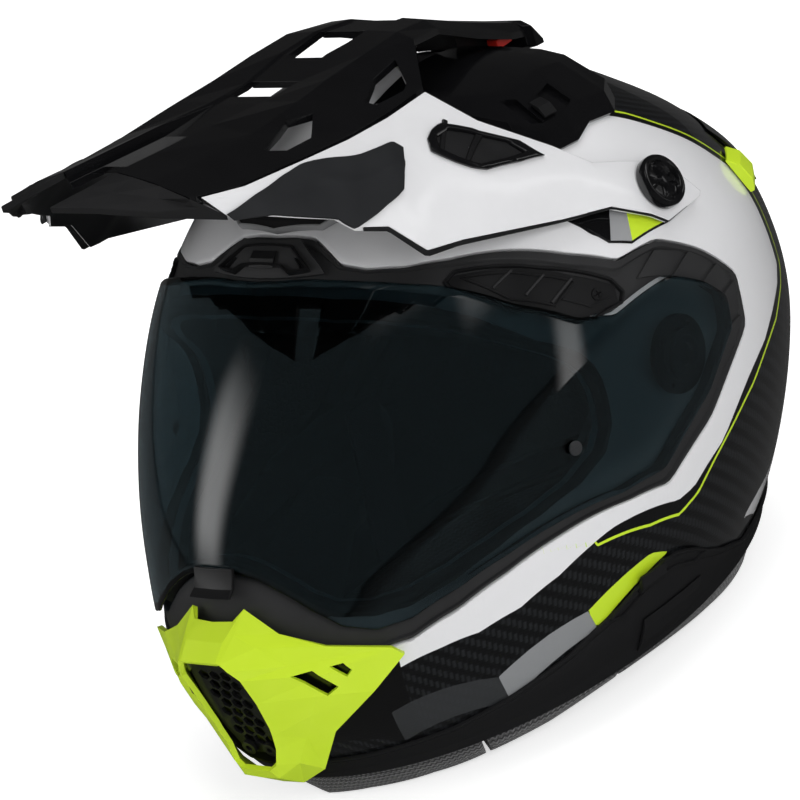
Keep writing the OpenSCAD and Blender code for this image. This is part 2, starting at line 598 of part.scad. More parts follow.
// A point of the arm's outer face: a along it, f down it, h above it
function arm(a, f, h) =
    arm_flat(a, f) + (along(ARM_SWELL, a) * sin(180 * f) + h) * arm_facing(a, f);
function arm_rows(as, fs, h) = [for (f = fs) [for (a = as) arm(a, f, h)]];
module peak_arm() {
    as = [for (a = [0 : 0.5 : arm_last]) a];
    fs = [0, 0.25, 0.5, 0.75, 1];
    inner = [for (f = fs) [for (a = as)
        f == 0 && a < 5.5 ? arm(a, 0, 0) - [0, 0, peak_t] : arm(a, f, -peak_t)]];
    difference() {
        skin(sheet(arm_rows(as, fs, 0), inner));
        along_knob(-10) cylinder(r = knob_shaft_r + pin_play, h = 20, $fn = 32);
    }
}
module peak_arm_left() { color("gainsboro") peak_arm(); }
module peak_arm_right() { color("gainsboro") mirror([1, 0, 0]) peak_arm(); }

// Dark panel on the front of the arm, and the frame of the arm's vent
panel_t = 0.8;
panel_seat = 2 * gap + 0.1;
// Place along the arm, then the shares down it of the panel's upper and lower edges
PANEL = [[0.5, 0.5, 0.88], [0.8, 0.26, 0.93], [1.3, 0.08, 0.96], [1.9, 0.1, 0.97], [2.45, 0.18, 0.93],
    [3.05, 0.29, 0.85], [3.6, 0.3, 0.73], [4.15, 0.32, 0.62]];
module peak_panel() {
    function face(h) = [for (k = [0 : 3]) [for (p = PANEL) arm(p[0], mix(p[1], p[2], k / 3), h)]];
    skin(sheet(face(panel_seat + panel_t), face(panel_seat)));
}
module peak_panel_left() { color("#333436") peak_panel(); }
module peak_panel_right() { color("#333436") mirror([1, 0, 0]) peak_panel(); }
vent_frame_h = 1.6;
module arm_vent() {
    ring = [[5.35, 0.17], [4.9, 0.33], [4.95, 0.41], [5.9, 0.43], [6.35, 0.41], [6.8, 0.28], [6.75, 0.19], [6.2, 0.14]];
    mid = [5.9, 0.28];
    rows = [for (k = [[1, 0], [1, vent_frame_h], [0.7, vent_frame_h], [0.7, 0]])
        [for (p = ring) let (q = mix(mid, p, k[0])) arm(q[0], q[1], gap + k[1])]];
    skin(rows, loop = true);
}
module arm_vent_left() { color("#151516") arm_vent(); }
module arm_vent_right() { color("#151516") mirror([1, 0, 0]) arm_vent(); }

// Knobs that hold the arms, on bosses that stand on the shell
knob_at = [9.35, 0.42];
knob_axis = arm_facing(knob_at[0], knob_at[1]);
knob_lift = 2 * gap;
knob_shaft_r = 4;
knob_shaft_h = peak_t + 2.6;
module along_knob(h) {
    n = knob_axis;
    translate(arm(knob_at[0], knob_at[1], h)) rotate([0, acos(n[2]), atan2(n[1], n[0])]) children();
}
module peak_knob() {
    along_knob(knob_lift) difference() {
        union() {
            cylinder(r1 = knob_r, r2 = knob_r - 1, h = knob_h, $fn = 48);
            translate([0, 0, -knob_shaft_h]) cylinder(r = knob_shaft_r, h = knob_shaft_h + 1, $fn = 32);
        }
        translate([0, 0, knob_h - 2]) difference() {
            cylinder(r = knob_r - 3, h = 4, $fn = 48);
            translate([-knob_r, -1.8, -1]) cube([2 * knob_r, 3.6, 6]);
        }
    }
}
module peak_knob_left() { color("#1b1b1c") peak_knob(); }
module peak_knob_right() { color("#1b1b1c") mirror([1, 0, 0]) peak_knob(); }
boss_r = 7;
boss_h = 2.2;
module peak_bosses() {
    color("#2a2a2b") both_sides() along_knob(-peak_t - 3 * gap - boss_h) difference() {
        cylinder(r = boss_r, h = boss_h, $fn = 48);
        translate([0, 0, -1]) cylinder(r = knob_shaft_r + pin_play, h = boss_h + 2, $fn = 32);
    }
}

// Reflective inlay under the arm's tail, lying on the shell
module arm_inlay() {
    upper = [[73, 208], [79, 206], [84.5, 203], [90, 195], [95, 188]];
    lower = [[74, 206], [79, 199.5], [84, 191.5], [90, 188.5], [95, 186]];
    rows = [for (f = [0, 0.5, 1]) [for (i = [0 : 4])
        mix(chart(upper[i][0], upper[i][1]), chart(lower[i][0], lower[i][1]), f)]];
    skin(laid(rows, [for (i = [0 : 2]) gap + inlay_t], [for (i = [0 : 2]) gap]));
}
module arm_inlay_left() { color("silver") arm_inlay(); }
module arm_inlay_right() { color("silver") mirror([1, 0, 0]) arm_inlay(); }

// Cover behind the tail of the peak, the mount that carries the tail, and the catch that frees it
mount_w = 12;
tail_dip = 1;
function dip(y) = lookup(y, [[-94, channel_d], [-60, tail_dip]]);
function peak_top(y) = lookup(y, [for (p = PEAK) [p[0], p[2] - dip(p[0])]]);
// Sections of the end cover behind the tail: y, half width, height of the top and of the bottom
TAIL_CAP = [[94, 22, 258.5, 245.5], [97, 25, 257.5, 244], [101, 26, 249.5, 244]];
module peak_tail_cap() {
    wide = [-1, -0.8, 0.8, 1];
    function row(p, k) = [for (x = wide)
        fit([x * p[1], p[0], p[k] + (abs(x) > 0.9 ? (k == 2 ? -2.5 : 1) : 0)]) + [0, gap, 0]];
    color("#161617") skin(sheet([for (p = TAIL_CAP) row(p, 2)], [for (p = TAIL_CAP) row(p, 3)]));
}
// The angle at which the section at height z is x wide
function turn_of(x, z) = asin(x / section(lookup(z, LEVEL))[3]);
module peak_tail_mount() {
    rows = [for (z = [257.5, 254, 250, 246]) [for (x = [-1, -0.5, 0, 0.5, 1])
        on_shell(180 - turn_of(x * mount_w, z), z, gap)]];
    color("#1b1b1c") skin(sheet([for (r = rows) [for (p = r)
        [p[0], p[1], (peak_top(p[1] / stretch[1])) * stretch[2] - peak_t - gap]]], rows));
}
release_size = [6, 10, 4.5];
release_drop = 8.6;
module peak_release() {
    at = fit([mount_w, 77, 0]);
    color("#c02418") translate([at[0] + 3 + gap, at[1], (peak_top(80) - peak_t) * stretch[2] - release_drop])
        cube(release_size);
}

// Crown vents: hoods on the shell beside the peak's tail, with a slider each
CROWN_LOWER = [[62, 249], [68, 245], [76, 238], [83, 229.5], [92, 228.5], [101, 230.5], [113, 226.5], [121, 228]];
CROWN_INNER = [-40, -28, -16, -4, 8, 22, 36, 48];
crown_mid = mount_w + 2;
// A column of the hood from its lower edge, f = 0, up to the edge beside the tail mount, f = 1
function crown_point(i, f) = mix(chart(CROWN_LOWER[i][0], CROWN_LOWER[i][1]), [crown_mid, CROWN_INNER[i]] * mm, f);
function crown_row(f) = [for (i = [0 : len(CROWN_LOWER) - 1]) crown_point(i, f)];
// Up the hood: the share of the way, the height as a share of crown_h, and the seat's height
CROWN_RISE = [[0, 0.25, 0.6], [0.1, 0.85, 1], [0.36, 1.05, 1.6], [0.5, 0.9, 1.6], [0.75, 0.5, 1.2], [1, 0.3, 0.6]];
// Windows in the hood's face: corners on the map as column and share
CROWN_WINDOWS = [[[2.6, 0.3], [3.2, 0.3], [3.2, 0.13], [2.8, 0.13]], [[3.9, 0.27], [4.8, 0.27], [4.8, 0.13], [4, 0.13]]];
window_d = 3.5;
function crown_at(q) = let (i = floor(q[0])) mix(crown_point(i, q[1]), crown_point(i + 1, q[1]), q[0] - i);
module crown_vent() {
    difference() {
        skin(laid([for (r = CROWN_RISE) crown_row(r[0])], [for (r = CROWN_RISE) r[1] * crown_h],
            [for (r = CROWN_RISE) r[2]]));
        for (w = CROWN_WINDOWS) skin(laid([[crown_at(w[0]), crown_at(w[1])], [crown_at(w[3]), crown_at(w[2])]],
            [crown_h + 4, crown_h + 4], [crown_h - window_d, crown_h - window_d]));
    }
}
module crown_vent_left() { color("#1c1c1d") crown_vent(); }
module crown_vent_right() { color("#1c1c1d") mirror([1, 0, 0]) crown_vent(); }
module crown_slider() {
    shares = [0.24, 0.19, 0.14];
    rows = [for (f = shares) [for (a = [3.3, 3.55, 3.8]) crown_at([a, f])]];
    low = CROWN_RISE[1];
    peak_of = CROWN_RISE[2];
    seats = [for (f = shares) crown_h * mix(low[1], peak_of[1], (f - low[0]) / (peak_of[0] - low[0])) + gap];
    skin(laid(rows, seats + [1, 2.2, 1], seats));
}
module crown_slider_left() { color("black") crown_slider(); }
module crown_slider_right() { color("black") mirror([1, 0, 0]) crown_slider(); }

// Rear spoiler over the exhaust vents, with a bright slider at each end
module rear_spoiler() {
    rows = [for (z = [188, 178, 166, 156]) [for (t = [140 : 5 : 220]) chart(t, z)]];
    color("#1c1c1d") skin(laid(rows, [0.3, 0.7, 1, 0.6] * spoiler_h, [for (i = [0 : 3]) 2 * gap]));
}
module rear_slider() {
    rows = [for (z = [180, 175, 167, 162]) [for (t = [128, 130.5, 133, 135.5]) chart(t, z)]];
    skin(laid(rows, [2, 5, 5.4, 3], [1, 0.6, 0.6, 1]));
}
module rear_slider_left() { color("#c8e62a") rear_slider(); }
module rear_slider_right() { color("#c8e62a") mirror([1, 0, 0]) rear_slider(); }

// Foam liner inside the laminate; its outer side is drawn in where the sun visor swings
pocket_play = 4;
// How far down the pocket reaches at each distance from the hinge, as an angle below it
POCKET = [[36, -34], [50, -24], [60, -17], [80, -13], [110, -9]];
pocket_hub_r = 22;
function drawn_in(p) =
    let (q = [p[0], p[1] - sun_hinge[1], p[2] - sun_hinge[2]], r = norm([q[1], q[2]]),
        turn = atan2(q[2], -q[1]),
        size = pow(pow(abs(q[0]) / (sun_side - pocket_play), barrel_n) + pow(r / (sun_reach - pocket_play), barrel_n),
            1 / barrel_n))
    (turn > lookup(r, POCKET) && turn < 112 || r < pocket_hub_r) && size > 1 ?
        [0, sun_hinge[1], sun_hinge[2]] + q / size : p;
liner_edge_z = 28;
liner_rows = 11;
module eps_liner() {
    pick = [for (i = [0 : 2 : spokes - 1]) i];
    base = base_loop(liner_edge_z);
    loops = concat([between(opening_loop, visor_loop, 0.2), moved(trim_loop, bend_loop, 5 * mm)],
        [moved(trim_loop, bend_loop, 18 * mm)],
        [for (i = [1.5 : liner_rows + 0.5]) towards(base, i / (liner_rows + 0.5))]);
    play = shell_t + liner_play;
    outer = [for (r = [0 : len(loops) - 1]) [for (i = pick)
        drawn_in(lifted(loops[r][i], r < 2 ? -step_d - play : -play))]];
    inner = [for (r = [0 : len(loops) - 1]) [for (i = pick)
        let (m = loops[r][i], z = on_map(m)[2] / stretch[2]) lifted(m, -1.6 - liner_depth(z))]];
    // Where the pocket would cut through, the liner bulges inwards to keep this thickness
    least = 3;
    n = len(pick) - 1;
    inside = [for (r = [0 : len(loops) - 1]) [for (k = [0 : n])
        let (out = outward(loops[r][pick[k]]), t = (outer[r][k] - inner[r][k]) * out)
        inner[r][k] - max(least - t, 0) * out]];
    color("#4a4a4c") skin(sheet(outer, inside), loop = true);
}

// Crown pad: a round cushion with sewn channels under the crown
pad_play = 6;
pad_n = 14;
function disc_map(u, v) = [u * sqrt(1 - v * v / 2), v * sqrt(1 - u * u / 2)];
module crown_pad() {
    seat = -shell_t - liner_t - pad_play;
    grid = [for (j = [0 : pad_n]) [for (i = [0 : pad_n])
        let (m = disc_map(2 * i / pad_n - 1, 2 * j / pad_n - 1)) [0.4 * m[0], 0.42 * m[1] + 0.05, norm(m), m[0]]]];
    outer = [for (r = grid) [for (g = r) lifted([g[0], g[1]], seat - 1.5 * pow(g[2], 4))]];
    inner = [for (r = grid) [for (g = r) lifted([g[0], g[1]],
        seat - 3 - (crown_pad_t - 3) * sqrt(max(0, 1 - pow(g[2], 4))) * (1 - 0.3 * pow(cos(270 * g[3]), 8)))]];
    color("#262628") skin(sheet(outer, inner));
}

// Cheek pads: crowned cushions either side of the face
cheek_nt = 9;
cheek_seat = 5.2;
cheek_nz = 7;
module cheek_pad() {
    seat = -shell_t - liner_low - cheek_seat;
    grid = [for (j = [0 : cheek_nz]) [for (i = [0 : cheek_nt])
        let (a = 2 * i / cheek_nt - 1, b = 2 * j / cheek_nz - 1, m = disc_map(a, b), e = max(norm(m), 0))
        [77 + 30 * mix(a, m[0], 0.5), 66.5 + 32.5 * mix(b, m[1], 0.5), e]]];
    outer = [for (r = grid) [for (g = r) on_shell(g[0], g[1], seat - 2 * pow(g[2], 4))]];
    inner = [for (r = grid) [for (g = r) on_shell(g[0], g[1],
        seat - 5 - (cheek_t - 5) * sqrt(max(0, 1 - pow(g[2], 3))))]];
    skin(sheet(outer, inner));
}
module cheek_pad_left() { color("#2c2c2f") cheek_pad(); }
module cheek_pad_right() { color("#2c2c2f") mirror([1, 0, 0]) cheek_pad(); }

// Neck roll: a knitted ring in four lengths, flat where it stands on the table
roll_arch = 8;
// How much further out than a straight drop the roll's foot stands round the helmet
ROLL_OUT = [[0, 9], [12, 4], [30, 0], [45, 2], [60, 6], [110, 7.5], [130, 10], [180, 10]];
function half_turn(t) = t > 180 ? 360 - t : abs(t);
function roll_foot(t) = roll_arch * pow(sin(lookup(half_turn(t), [[25, 0], [80, 90], [130, 180]])), 2);
// Section of the roll: height of the ring it follows, distance out from the ring, height
function roll_section(t, k) =
    let (f = roll_foot(t), roof = edge_z - bead_drop - gap, deep = -shell_t - gap - 2, inside = -shell_t - roll_w,
        d = lookup(half_turn(t), ROLL_OUT))
    [[16, -1 - 2 * k, roof], [9, 0.3 * d - 0.5 - 2 * k, mix(f, roof, 0.55)], [3, 0.75 * d - 2.5 - 2 * k, f + 3 + k],
        [0, d - 6, f], [0, d / 2 - 14, f], [3, inside + 5, f + 3 + k], [10, inside + 2 * k, 9 + f / 2],
        [20, inside + 3 + 2 * k, 18], [22, inside + 13, 22 - 3 * k], [16, deep, roof]];
module neck_roll(from, to, steps) {
    turns = [for (i = [0 : steps]) mix(from, to, i / steps)];
    sections = [for (i = [0 : steps]) roll_section(turns[i], i == 0 || i == steps ? 1 : 0)];
    skin([for (k = [0 : 9]) [for (i = [0 : steps])
        let (p = sections[i][k]) beside(turns[i], p[0], p[1], p[2])]]);
}
module chin_curtain() { color("#1d1d1e") neck_roll(-44, 44, 16); }
module neck_roll_left() { color("#1d1d1e") neck_roll(45.2, 78.6, 8); }
module neck_roll_right() { color("#1d1d1e") mirror([1, 0, 0]) neck_roll(45.2, 78.6, 8); }
module neck_roll_rear() { color("#1d1d1e") neck_roll(79.8, 280.2, 26); }

// Rubber tabs clipped over the beading at the sides
module roll_tabs() {
    rows = [for (z = [36, 32, 26, 21]) [for (t = [78.5 : 4.8 : 93]) chart(t, z)]];
    color("#151516") both_sides()
        skin(laid(rows, [for (h = [0.8, 1.8, 1.8, 0.8]) bead_out + gap + h], [for (i = [0 : 3]) bead_out + gap]));
}

// Chin strap: a length of webbing down the inside of each cheek pad
strap_turn = 92;
strap_off = -shell_t - liner_low - cheek_t - cheek_seat - gap;
module webbing(low) {
    half = strap_w / 2;
    heights = [for (i = [0 : 6]) mix(96, low, i / 6)];
    mid = [for (z = heights) on_shell(strap_turn, z, strap_off)];
    skin([for (q = [[0, -half], [0, half], [-strap_t, half], [-strap_t, -half]])
        [for (p = mid) p + [q[0], q[1], 0]]]);
}
strap_low_left = 34;
strap_low_right = 18;
module strap_left() { color("#222224") webbing(strap_low_left); }
module strap_right() { color("#222224") mirror([1, 0, 0]) webbing(strap_low_right); }

// Ratchet buckle on the end of the left strap, and its lever
buckle_l = 30;
buckle_w = strap_w + 4;
buckle_h = 6;
lever_pin_r = 1.5;
buckle_top = on_shell(strap_turn, strap_low_left, strap_off);
module at_buckle() {
    translate(buckle_top + [-strap_t / 2, 0, -gap]) children();
}
module buckle_body() {
    color("#3c3c3e") at_buckle() difference() {
        translate([-buckle_h, -buckle_w / 2, -buckle_l]) cube([buckle_h, buckle_w, buckle_l]);
        translate([-buckle_h - 1, -strap_w / 2, -buckle_l + 4]) cube([buckle_h - 1, strap_w, buckle_l - 8]);
        translate([-buckle_h / 2, -buckle_w, -buckle_l / 2]) rotate([-90, 0, 0])
            cylinder(r = lever_pin_r + pin_play, h = 2 * buckle_w, $fn = 24);
    }
}
module buckle_lever() {
    color("#c02418") at_buckle() {
        translate([-buckle_h / 2, -buckle_w / 2 + 0.5, -buckle_l / 2]) rotate([-90, 0, 0])
            cylinder(r = lever_pin_r, h = buckle_w - 1, $fn = 24);
        translate([-buckle_h - 1, -strap_w / 2 + gap, -buckle_l / 2 - 1.5])
            cube([buckle_h / 2 + 1 + 0.2, strap_w - 2 * gap, buckle_l / 2 - 4]);
    }
}

outer_shell();
base_trim();
eyeport_trim();
eyeport_gasket();
visor();
visor_hubs();
visor_tab();
visor_pins();
base_plate_left();
base_plate_right();
sun_visor();
sun_visor_pins();
sun_visor_slider();
chin_guard();
chin_mesh();
chin_bolts();
chin_vent_slider();
brow_vent();
brow_vent_slider();
brow_scoop();
side_vent_left();
side_vent_right();
peak();
peak_lips();
peak_arm_left();
peak_arm_right();
peak_panel_left();
peak_panel_right();
arm_vent_left();
arm_vent_right();
peak_knob_left();
peak_knob_right();
peak_bosses();
arm_inlay_left();
arm_inlay_right();
peak_tail_cap();
peak_tail_mount();
peak_release();
crown_vent_left();
crown_vent_right();
crown_slider_left();
crown_slider_right();
rear_spoiler();
rear_slider_left();
rear_slider_right();
eps_liner();
crown_pad();
cheek_pad_left();
cheek_pad_right();
chin_curtain();
neck_roll_left();
neck_roll_right();
neck_roll_rear();
roll_tabs();
strap_left();
strap_right();
buckle_body();
buckle_lever();
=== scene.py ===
"""Looks of a full-face enduro helmet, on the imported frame.

Shapes are worked out in millimetres and put into meshes in metres. Z is up, the wearer looks along
-Y, and the wearer's left is +X. Angles t run round the head in degrees: 0 is the front, 90 the
wearer's left and 180 the back. A level h is a distance out from the shell, along its normal.
"""

import json
import logging
import math
from dataclasses import dataclass
from enum import Enum

import bmesh
import bpy
import numpy as np
from mathutils import Matrix, Vector

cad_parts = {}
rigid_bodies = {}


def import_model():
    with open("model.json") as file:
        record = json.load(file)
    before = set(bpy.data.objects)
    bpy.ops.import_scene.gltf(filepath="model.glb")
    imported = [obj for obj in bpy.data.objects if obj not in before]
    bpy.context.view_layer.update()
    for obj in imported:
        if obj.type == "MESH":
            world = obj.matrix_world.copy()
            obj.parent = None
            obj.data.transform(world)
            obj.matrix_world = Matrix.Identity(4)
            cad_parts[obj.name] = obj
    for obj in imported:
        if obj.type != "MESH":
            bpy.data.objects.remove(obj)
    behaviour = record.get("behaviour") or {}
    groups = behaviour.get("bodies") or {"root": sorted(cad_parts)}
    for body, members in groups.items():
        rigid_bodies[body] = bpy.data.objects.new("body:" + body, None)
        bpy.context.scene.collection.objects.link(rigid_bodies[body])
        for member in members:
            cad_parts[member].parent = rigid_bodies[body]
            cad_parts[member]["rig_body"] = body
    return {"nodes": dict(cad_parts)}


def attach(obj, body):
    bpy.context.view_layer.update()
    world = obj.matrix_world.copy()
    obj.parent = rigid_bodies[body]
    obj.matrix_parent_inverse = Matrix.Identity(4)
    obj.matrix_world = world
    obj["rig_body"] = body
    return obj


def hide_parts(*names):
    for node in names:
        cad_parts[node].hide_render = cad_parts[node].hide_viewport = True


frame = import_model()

LOG = logging.getLogger("helmet")
Array = np.ndarray
Piece = bpy.types.Object
Socket = bpy.types.NodeSocket
Pairs = tuple[tuple[float, float], ...]

MM = 0.001
MAP_MM = 1 / 360  # a millimetre on the polar map, near enough
WALL = 4.0  # thickness of the laminate
EDGE_Z = 20.0  # height of the laminate's lower edge
BEAD_DROP = 4.0  # how far the rubber edge hangs under it
SEAT_GAP = 0.3  # air between pieces that lie on each other
WELD = 2e-6  # reach in metres within which a solid's loose corners are one


class Side(Enum):
    """The two sides of the helmet, by the sign of X."""

    LEFT = 1
    RIGHT = -1

    @property
    def tag(self) -> str:
        """The side's word in the names of nodes and pieces."""
        return self.name.lower()

    def put(self, points: Array) -> Array:
        """Points worked out for the left, on this side."""
        return points * np.array([self.value, 1, 1])


# Lines of the shell: height, foremost y, rearmost y, half width, y of the widest point
LINES = np.array([
    (-2, -130, 122, 86, -14), (20, -148, 145, 100, -5), (45, -161, 164, 111, 4),
    (75, -166, 181, 119, 14), (105, -159, 191, 124, 21), (135, -148, 190, 125, 26),
    (165, -130, 180, 123, 27), (195, -106, 157, 115, 27), (220, -79, 128, 100, 28),
    (240, -48, 101, 79, 30), (254, -16, 75, 52, 32), (261, 12, 53, 26, 34), (263, 35, 35, 0, 35),
], float)

# Loops of the eyeport from the middle of the brow to the chin: t and z of the opening, of the
# visor's edge and of the trim's edge, t at the base, and t and z of what a rear spoke bends towards
PORT = [
    (0, 208, 0, 217, 0, 230, 180), (7, 208, 7, 217, 7, 230, 173), (14, 207, 14, 217, 13, 229, 166),
    (21, 205, 21, 215.5, 22, 221, 159, 133, 166), (28, 203, 29, 213, 29, 218, 152, 131, 165),
    (36, 199, 38, 209, 38, 215.5, 146, 129, 166), (45, 192, 48, 203, 48, 213.5, 140, 127, 168),
    (53, 183, 59, 190, 60, 209.5, 134, 126, 169), (60, 173, 70, 174.5, 73, 198, 128, 126.5, 170),
    (65, 165, 77, 168, 82, 186, 122, 127.5, 166), (68, 158, 90, 169, 92, 184, 116, 128, 138),
    (70, 151, 97, 157, 101, 168, 110, 126, 130), (71, 144, 101, 145, 107.5, 147, 106, 121, 108),
    (71.5, 136, 100, 131, 106, 124, 99, 109, 105), (71.5, 127, 92, 115, 93, 101, 91),
    (70, 119, 81, 96.5, 83, 87, 83), (65, 112, 73, 98, 75, 91.5, 75), (58, 108, 62, 101, 62, 93.5, 66),
    (51, 105, 53, 98, 53, 89, 57), (44, 101, 45, 93, 45, 83, 48), (37, 98, 37, 87.5, 37, 77.5, 39),
    (30, 98, 31, 87, 31, 77, 31), (24, 101, 25, 92, 25, 78, 25), (19, 107, 19.5, 101, 19.5, 80, 19.5),
    (14, 115, 14, 110, 14, 82, 14), (9, 121, 9, 116, 9, 84, 9), (4.5, 124, 4.5, 118.5, 4.5, 84, 4.5),
    (0, 125, 0, 119, 0, 84, 0),
]


def lerp(a: Array, b: Array, share: float | Array) -> Array:
    """A point the given share of the way from a to b."""
    return a + (b - a) * share


def unit(v: Array) -> Array:
    """Vectors scaled to length one along the last axis."""
    return v / np.maximum(np.linalg.norm(v, axis=-1, keepdims=True), 1e-12)


def cubic(a: Array, b: Array, c: Array, d: Array, f: Array) -> Array:
    """The smooth cubic from b to c at share f, whose slopes there follow a to c and b to d."""
    return b + 0.5 * f * (c - a + f * (2 * a - 5 * b + 4 * c - d + f * (3 * (b - c) + d - a)))


def dense(points: Array, each: int, closed: bool = False) -> Array:
    """Points added evenly along a line of straight segments, so many to a segment.

    Args:
        points: the line's corners, one row each.
        each: how many points a segment gets.
        closed: whether the line comes back to its start.

    Returns:
        The points, without the start again at the end.
    """
    p = np.vstack([points, points[:1]]) if closed else points
    place = np.linspace(0, len(p) - 1, (len(p) - 1) * each + 1)
    out = np.stack([np.interp(place, np.arange(len(p)), p[:, k]) for k in range(2)], -1)
    return out[:-1] if closed else out


class ShellForm:
    """The outer surface of the shell, in millimetres.

    Each level is two half ellipses, and levels between the table's rows follow a smooth cubic through
    four rows. The map is polar: the crown is the origin and the base edge the unit circle.
    """

    step: float = 0.004  # on the map, for slopes

    def __init__(self) -> None:
        """Adds the rows before the first and past the crown that the cubic needs."""
        over = LINES[:, [0, 2, 1, 3, 4]] * np.array([1, 1, 1, -1, 1])
        self.top = len(LINES) - 1
        self.rows = np.vstack([2 * LINES[0] - LINES[1], LINES, over[-2], over[-3]])

    def section(self, u: Array) -> Array:
        """The five numbers of the level at place u in the table.

        Args:
            u: places in the table.

        Returns:
            Height, foremost y, rearmost y, half width and y of the widest point.
        """
        u = np.asarray(u, float)
        i = np.clip(np.floor(u).astype(int), 0, self.top - 1)
        return cubic(*(self.rows[i + k] for k in range(4)), (u - i)[..., None])

    def level(self, z: Array) -> Array:
        """Place in the table of a height, straight between rows."""
        return np.interp(z, LINES[:, 0], np.arange(self.top + 1))

    def at(self, t: Array, u: Array) -> Array:
        """Point at turn t and place u: x is the half width times sine, y an ellipse along cosine.

        Args:
            t: turns in degrees.
            u: places in the table.

        Returns:
            Points.
        """
        s, a = self.section(u), np.radians(t)
        reach = np.where(np.cos(a) > 0, s[..., 4] - s[..., 1], s[..., 2] - s[..., 4])
        return np.stack([s[..., 3] * np.sin(a), s[..., 4] - reach * np.cos(a), s[..., 0]], -1)

    def chart(self, t: Array, z: Array) -> Array:
        """Map point of turn t and height z: the radius falls evenly from the base to the crown.

        Args:
            t: turns in degrees.
            z: heights.

        Returns:
            Map points.
        """
        r = 1 - self.level(z) / self.top
        a = np.radians(t)
        return np.stack(np.broadcast_arrays(r * np.sin(a), -r * np.cos(a)), -1)

    def charted(self, pairs: Pairs | Array) -> Array:
        """Map points of rows of turns and heights."""
        p = np.asarray(pairs, float)
        return self.chart(p[..., 0], p[..., 1])

    def turn(self, m: Array) -> Array:
        """Turn in degrees of a map point."""
        return np.degrees(np.arctan2(m[..., 0], -m[..., 1]))

    def on_map(self, m: Array) -> Array:
        """Point of the shell over a map point."""
        return self.at(self.turn(m), self.top * (1 - np.linalg.norm(m, axis=-1)))

    def outward(self, m: Array) -> Array:
        """Normal of the shell over a map point: the cross product of its two slopes.

        Args:
            m: map points.

        Returns:
            Directions of length one.
        """
        dx, dy = np.array([self.step, 0]), np.array([0, self.step])
        slopes = (self.on_map(m + d) - self.on_map(m - d) for d in (dx, dy))
        return unit(np.cross(*slopes))

    def lifted(self, m: Array, h: float | Array) -> Array:
        """Point over a map point, h millimetres out from the shell."""
        return self.on_map(m) + np.asarray(h)[..., None] * self.outward(m)

    def beside(self, t: Array, z: Array, h: Array, level: Array) -> Array:
        """Point h out from the section at height z, in the level plane, put at another level.

        Args:
            t: turns in degrees.
            z: heights of the sections.
            h: distances out.
            level: heights that the points are put at.

        Returns:
            Points.
        """
        u = self.level(z)
        p, way = self.at(t, u), self.at(t + 1, u) - self.at(t - 1, u)
        out = unit(np.stack([way[..., 1], -way[..., 0]], -1))
        q = p[..., :2] + np.asarray(h)[..., None] * out
        return np.concatenate([q, np.broadcast_to(level, q.shape[:-1])[..., None]], -1)


FORM = ShellForm()


class Loops:
    """The eyeport's loops on the map, made dense and with slightly rounded corners."""

    per_spoke: int = 8

    def __init__(self) -> None:
        """Works out every loop at the same places round the eyeport."""
        self.opening, self.visor, self.trim = (
            self.loop([FORM.chart(p[k], p[k + 1]) for p in PORT]) for k in (0, 2, 4))
        self.bend = self.loop([
            FORM.chart(p[7], p[8]) if len(p) > 7
            else lerp(FORM.chart(p[4], p[5]), FORM.chart(p[6], EDGE_Z), 0.5) for p in PORT])
        self.count = len(self.opening)
        half = np.array([p[6] for p in PORT], float)
        whole = np.concatenate([half, -half[-2::-1]])
        self.turns = np.interp(np.arange(self.count) / self.per_spoke, np.arange(len(whole)), whole)

    def loop(self, half: list[Array]) -> Array:
        """The closed loop of a left half, dense, each point then averaged with its neighbours.

        Args:
            half: the points of the left half, both ends on the middle plane.

        Returns:
            The loop, first point at the brow.
        """
        h = np.array(half, float)
        out = dense(np.vstack([h, h[-2:0:-1] * np.array([-1, 1])]), self.per_spoke, True)
        return (np.roll(out, 1, 0) + 2 * out + np.roll(out, -1, 0)) / 4

    def base(self) -> Array:
        """The loop round the laminate's lower edge."""
        return FORM.chart(self.turns, np.full(self.count, EDGE_Z))

    def lifted(self, m: Array, h: float) -> Array:
        """A loop's points of the shell at one level."""
        return FORM.lifted(m, np.full(self.count, h))

    @staticmethod
    def moved(a: Array, b: Array, d: float) -> Array:
        """Loop a moved towards loop b by a distance in millimetres on the map."""
        return a + d * MAP_MM * unit(b - a)

    @staticmethod
    def bent(a: Array, b: Array, c: Array, f: float | Array) -> Array:
        """A quadratic curve from a, drawn towards b, to c, at share f."""
        return lerp(lerp(a, b, f), lerp(b, c, f), f)


PATHS = Loops()


def linked(name: str, data: bpy.types.ID) -> Piece:
    """A new object of the scene with the given data.

    Args:
        name: its name.
        data: its mesh, lamp or camera.

    Returns:
        The object.
    """
    made = bpy.data.objects.new(name, data)
    bpy.context.scene.collection.objects.link(made)
    return made


def welded(source: bpy.types.Mesh, reach: float = WELD) -> bmesh.types.BMesh:
    """A copy of a mesh for editing, with its doubles merged.

    Args:
        source: the mesh.
        reach: how far apart merged corners may lie, in metres.

    Returns:
        The copy, which the caller frees.
    """
    bm = bmesh.new()
    bm.from_mesh(source)
    bmesh.ops.remove_doubles(bm, verts=bm.verts, dist=reach)
    return bm


def stored(bm: bmesh.types.BMesh, mesh: bpy.types.Mesh) -> bpy.types.Mesh:
    """Puts an edited copy into a mesh and frees the copy.

    Args:
        bm: the edited copy.
        mesh: the mesh that takes it.

    Returns:
        The mesh.
    """
    bm.to_mesh(mesh)
    bm.free()
    return mesh


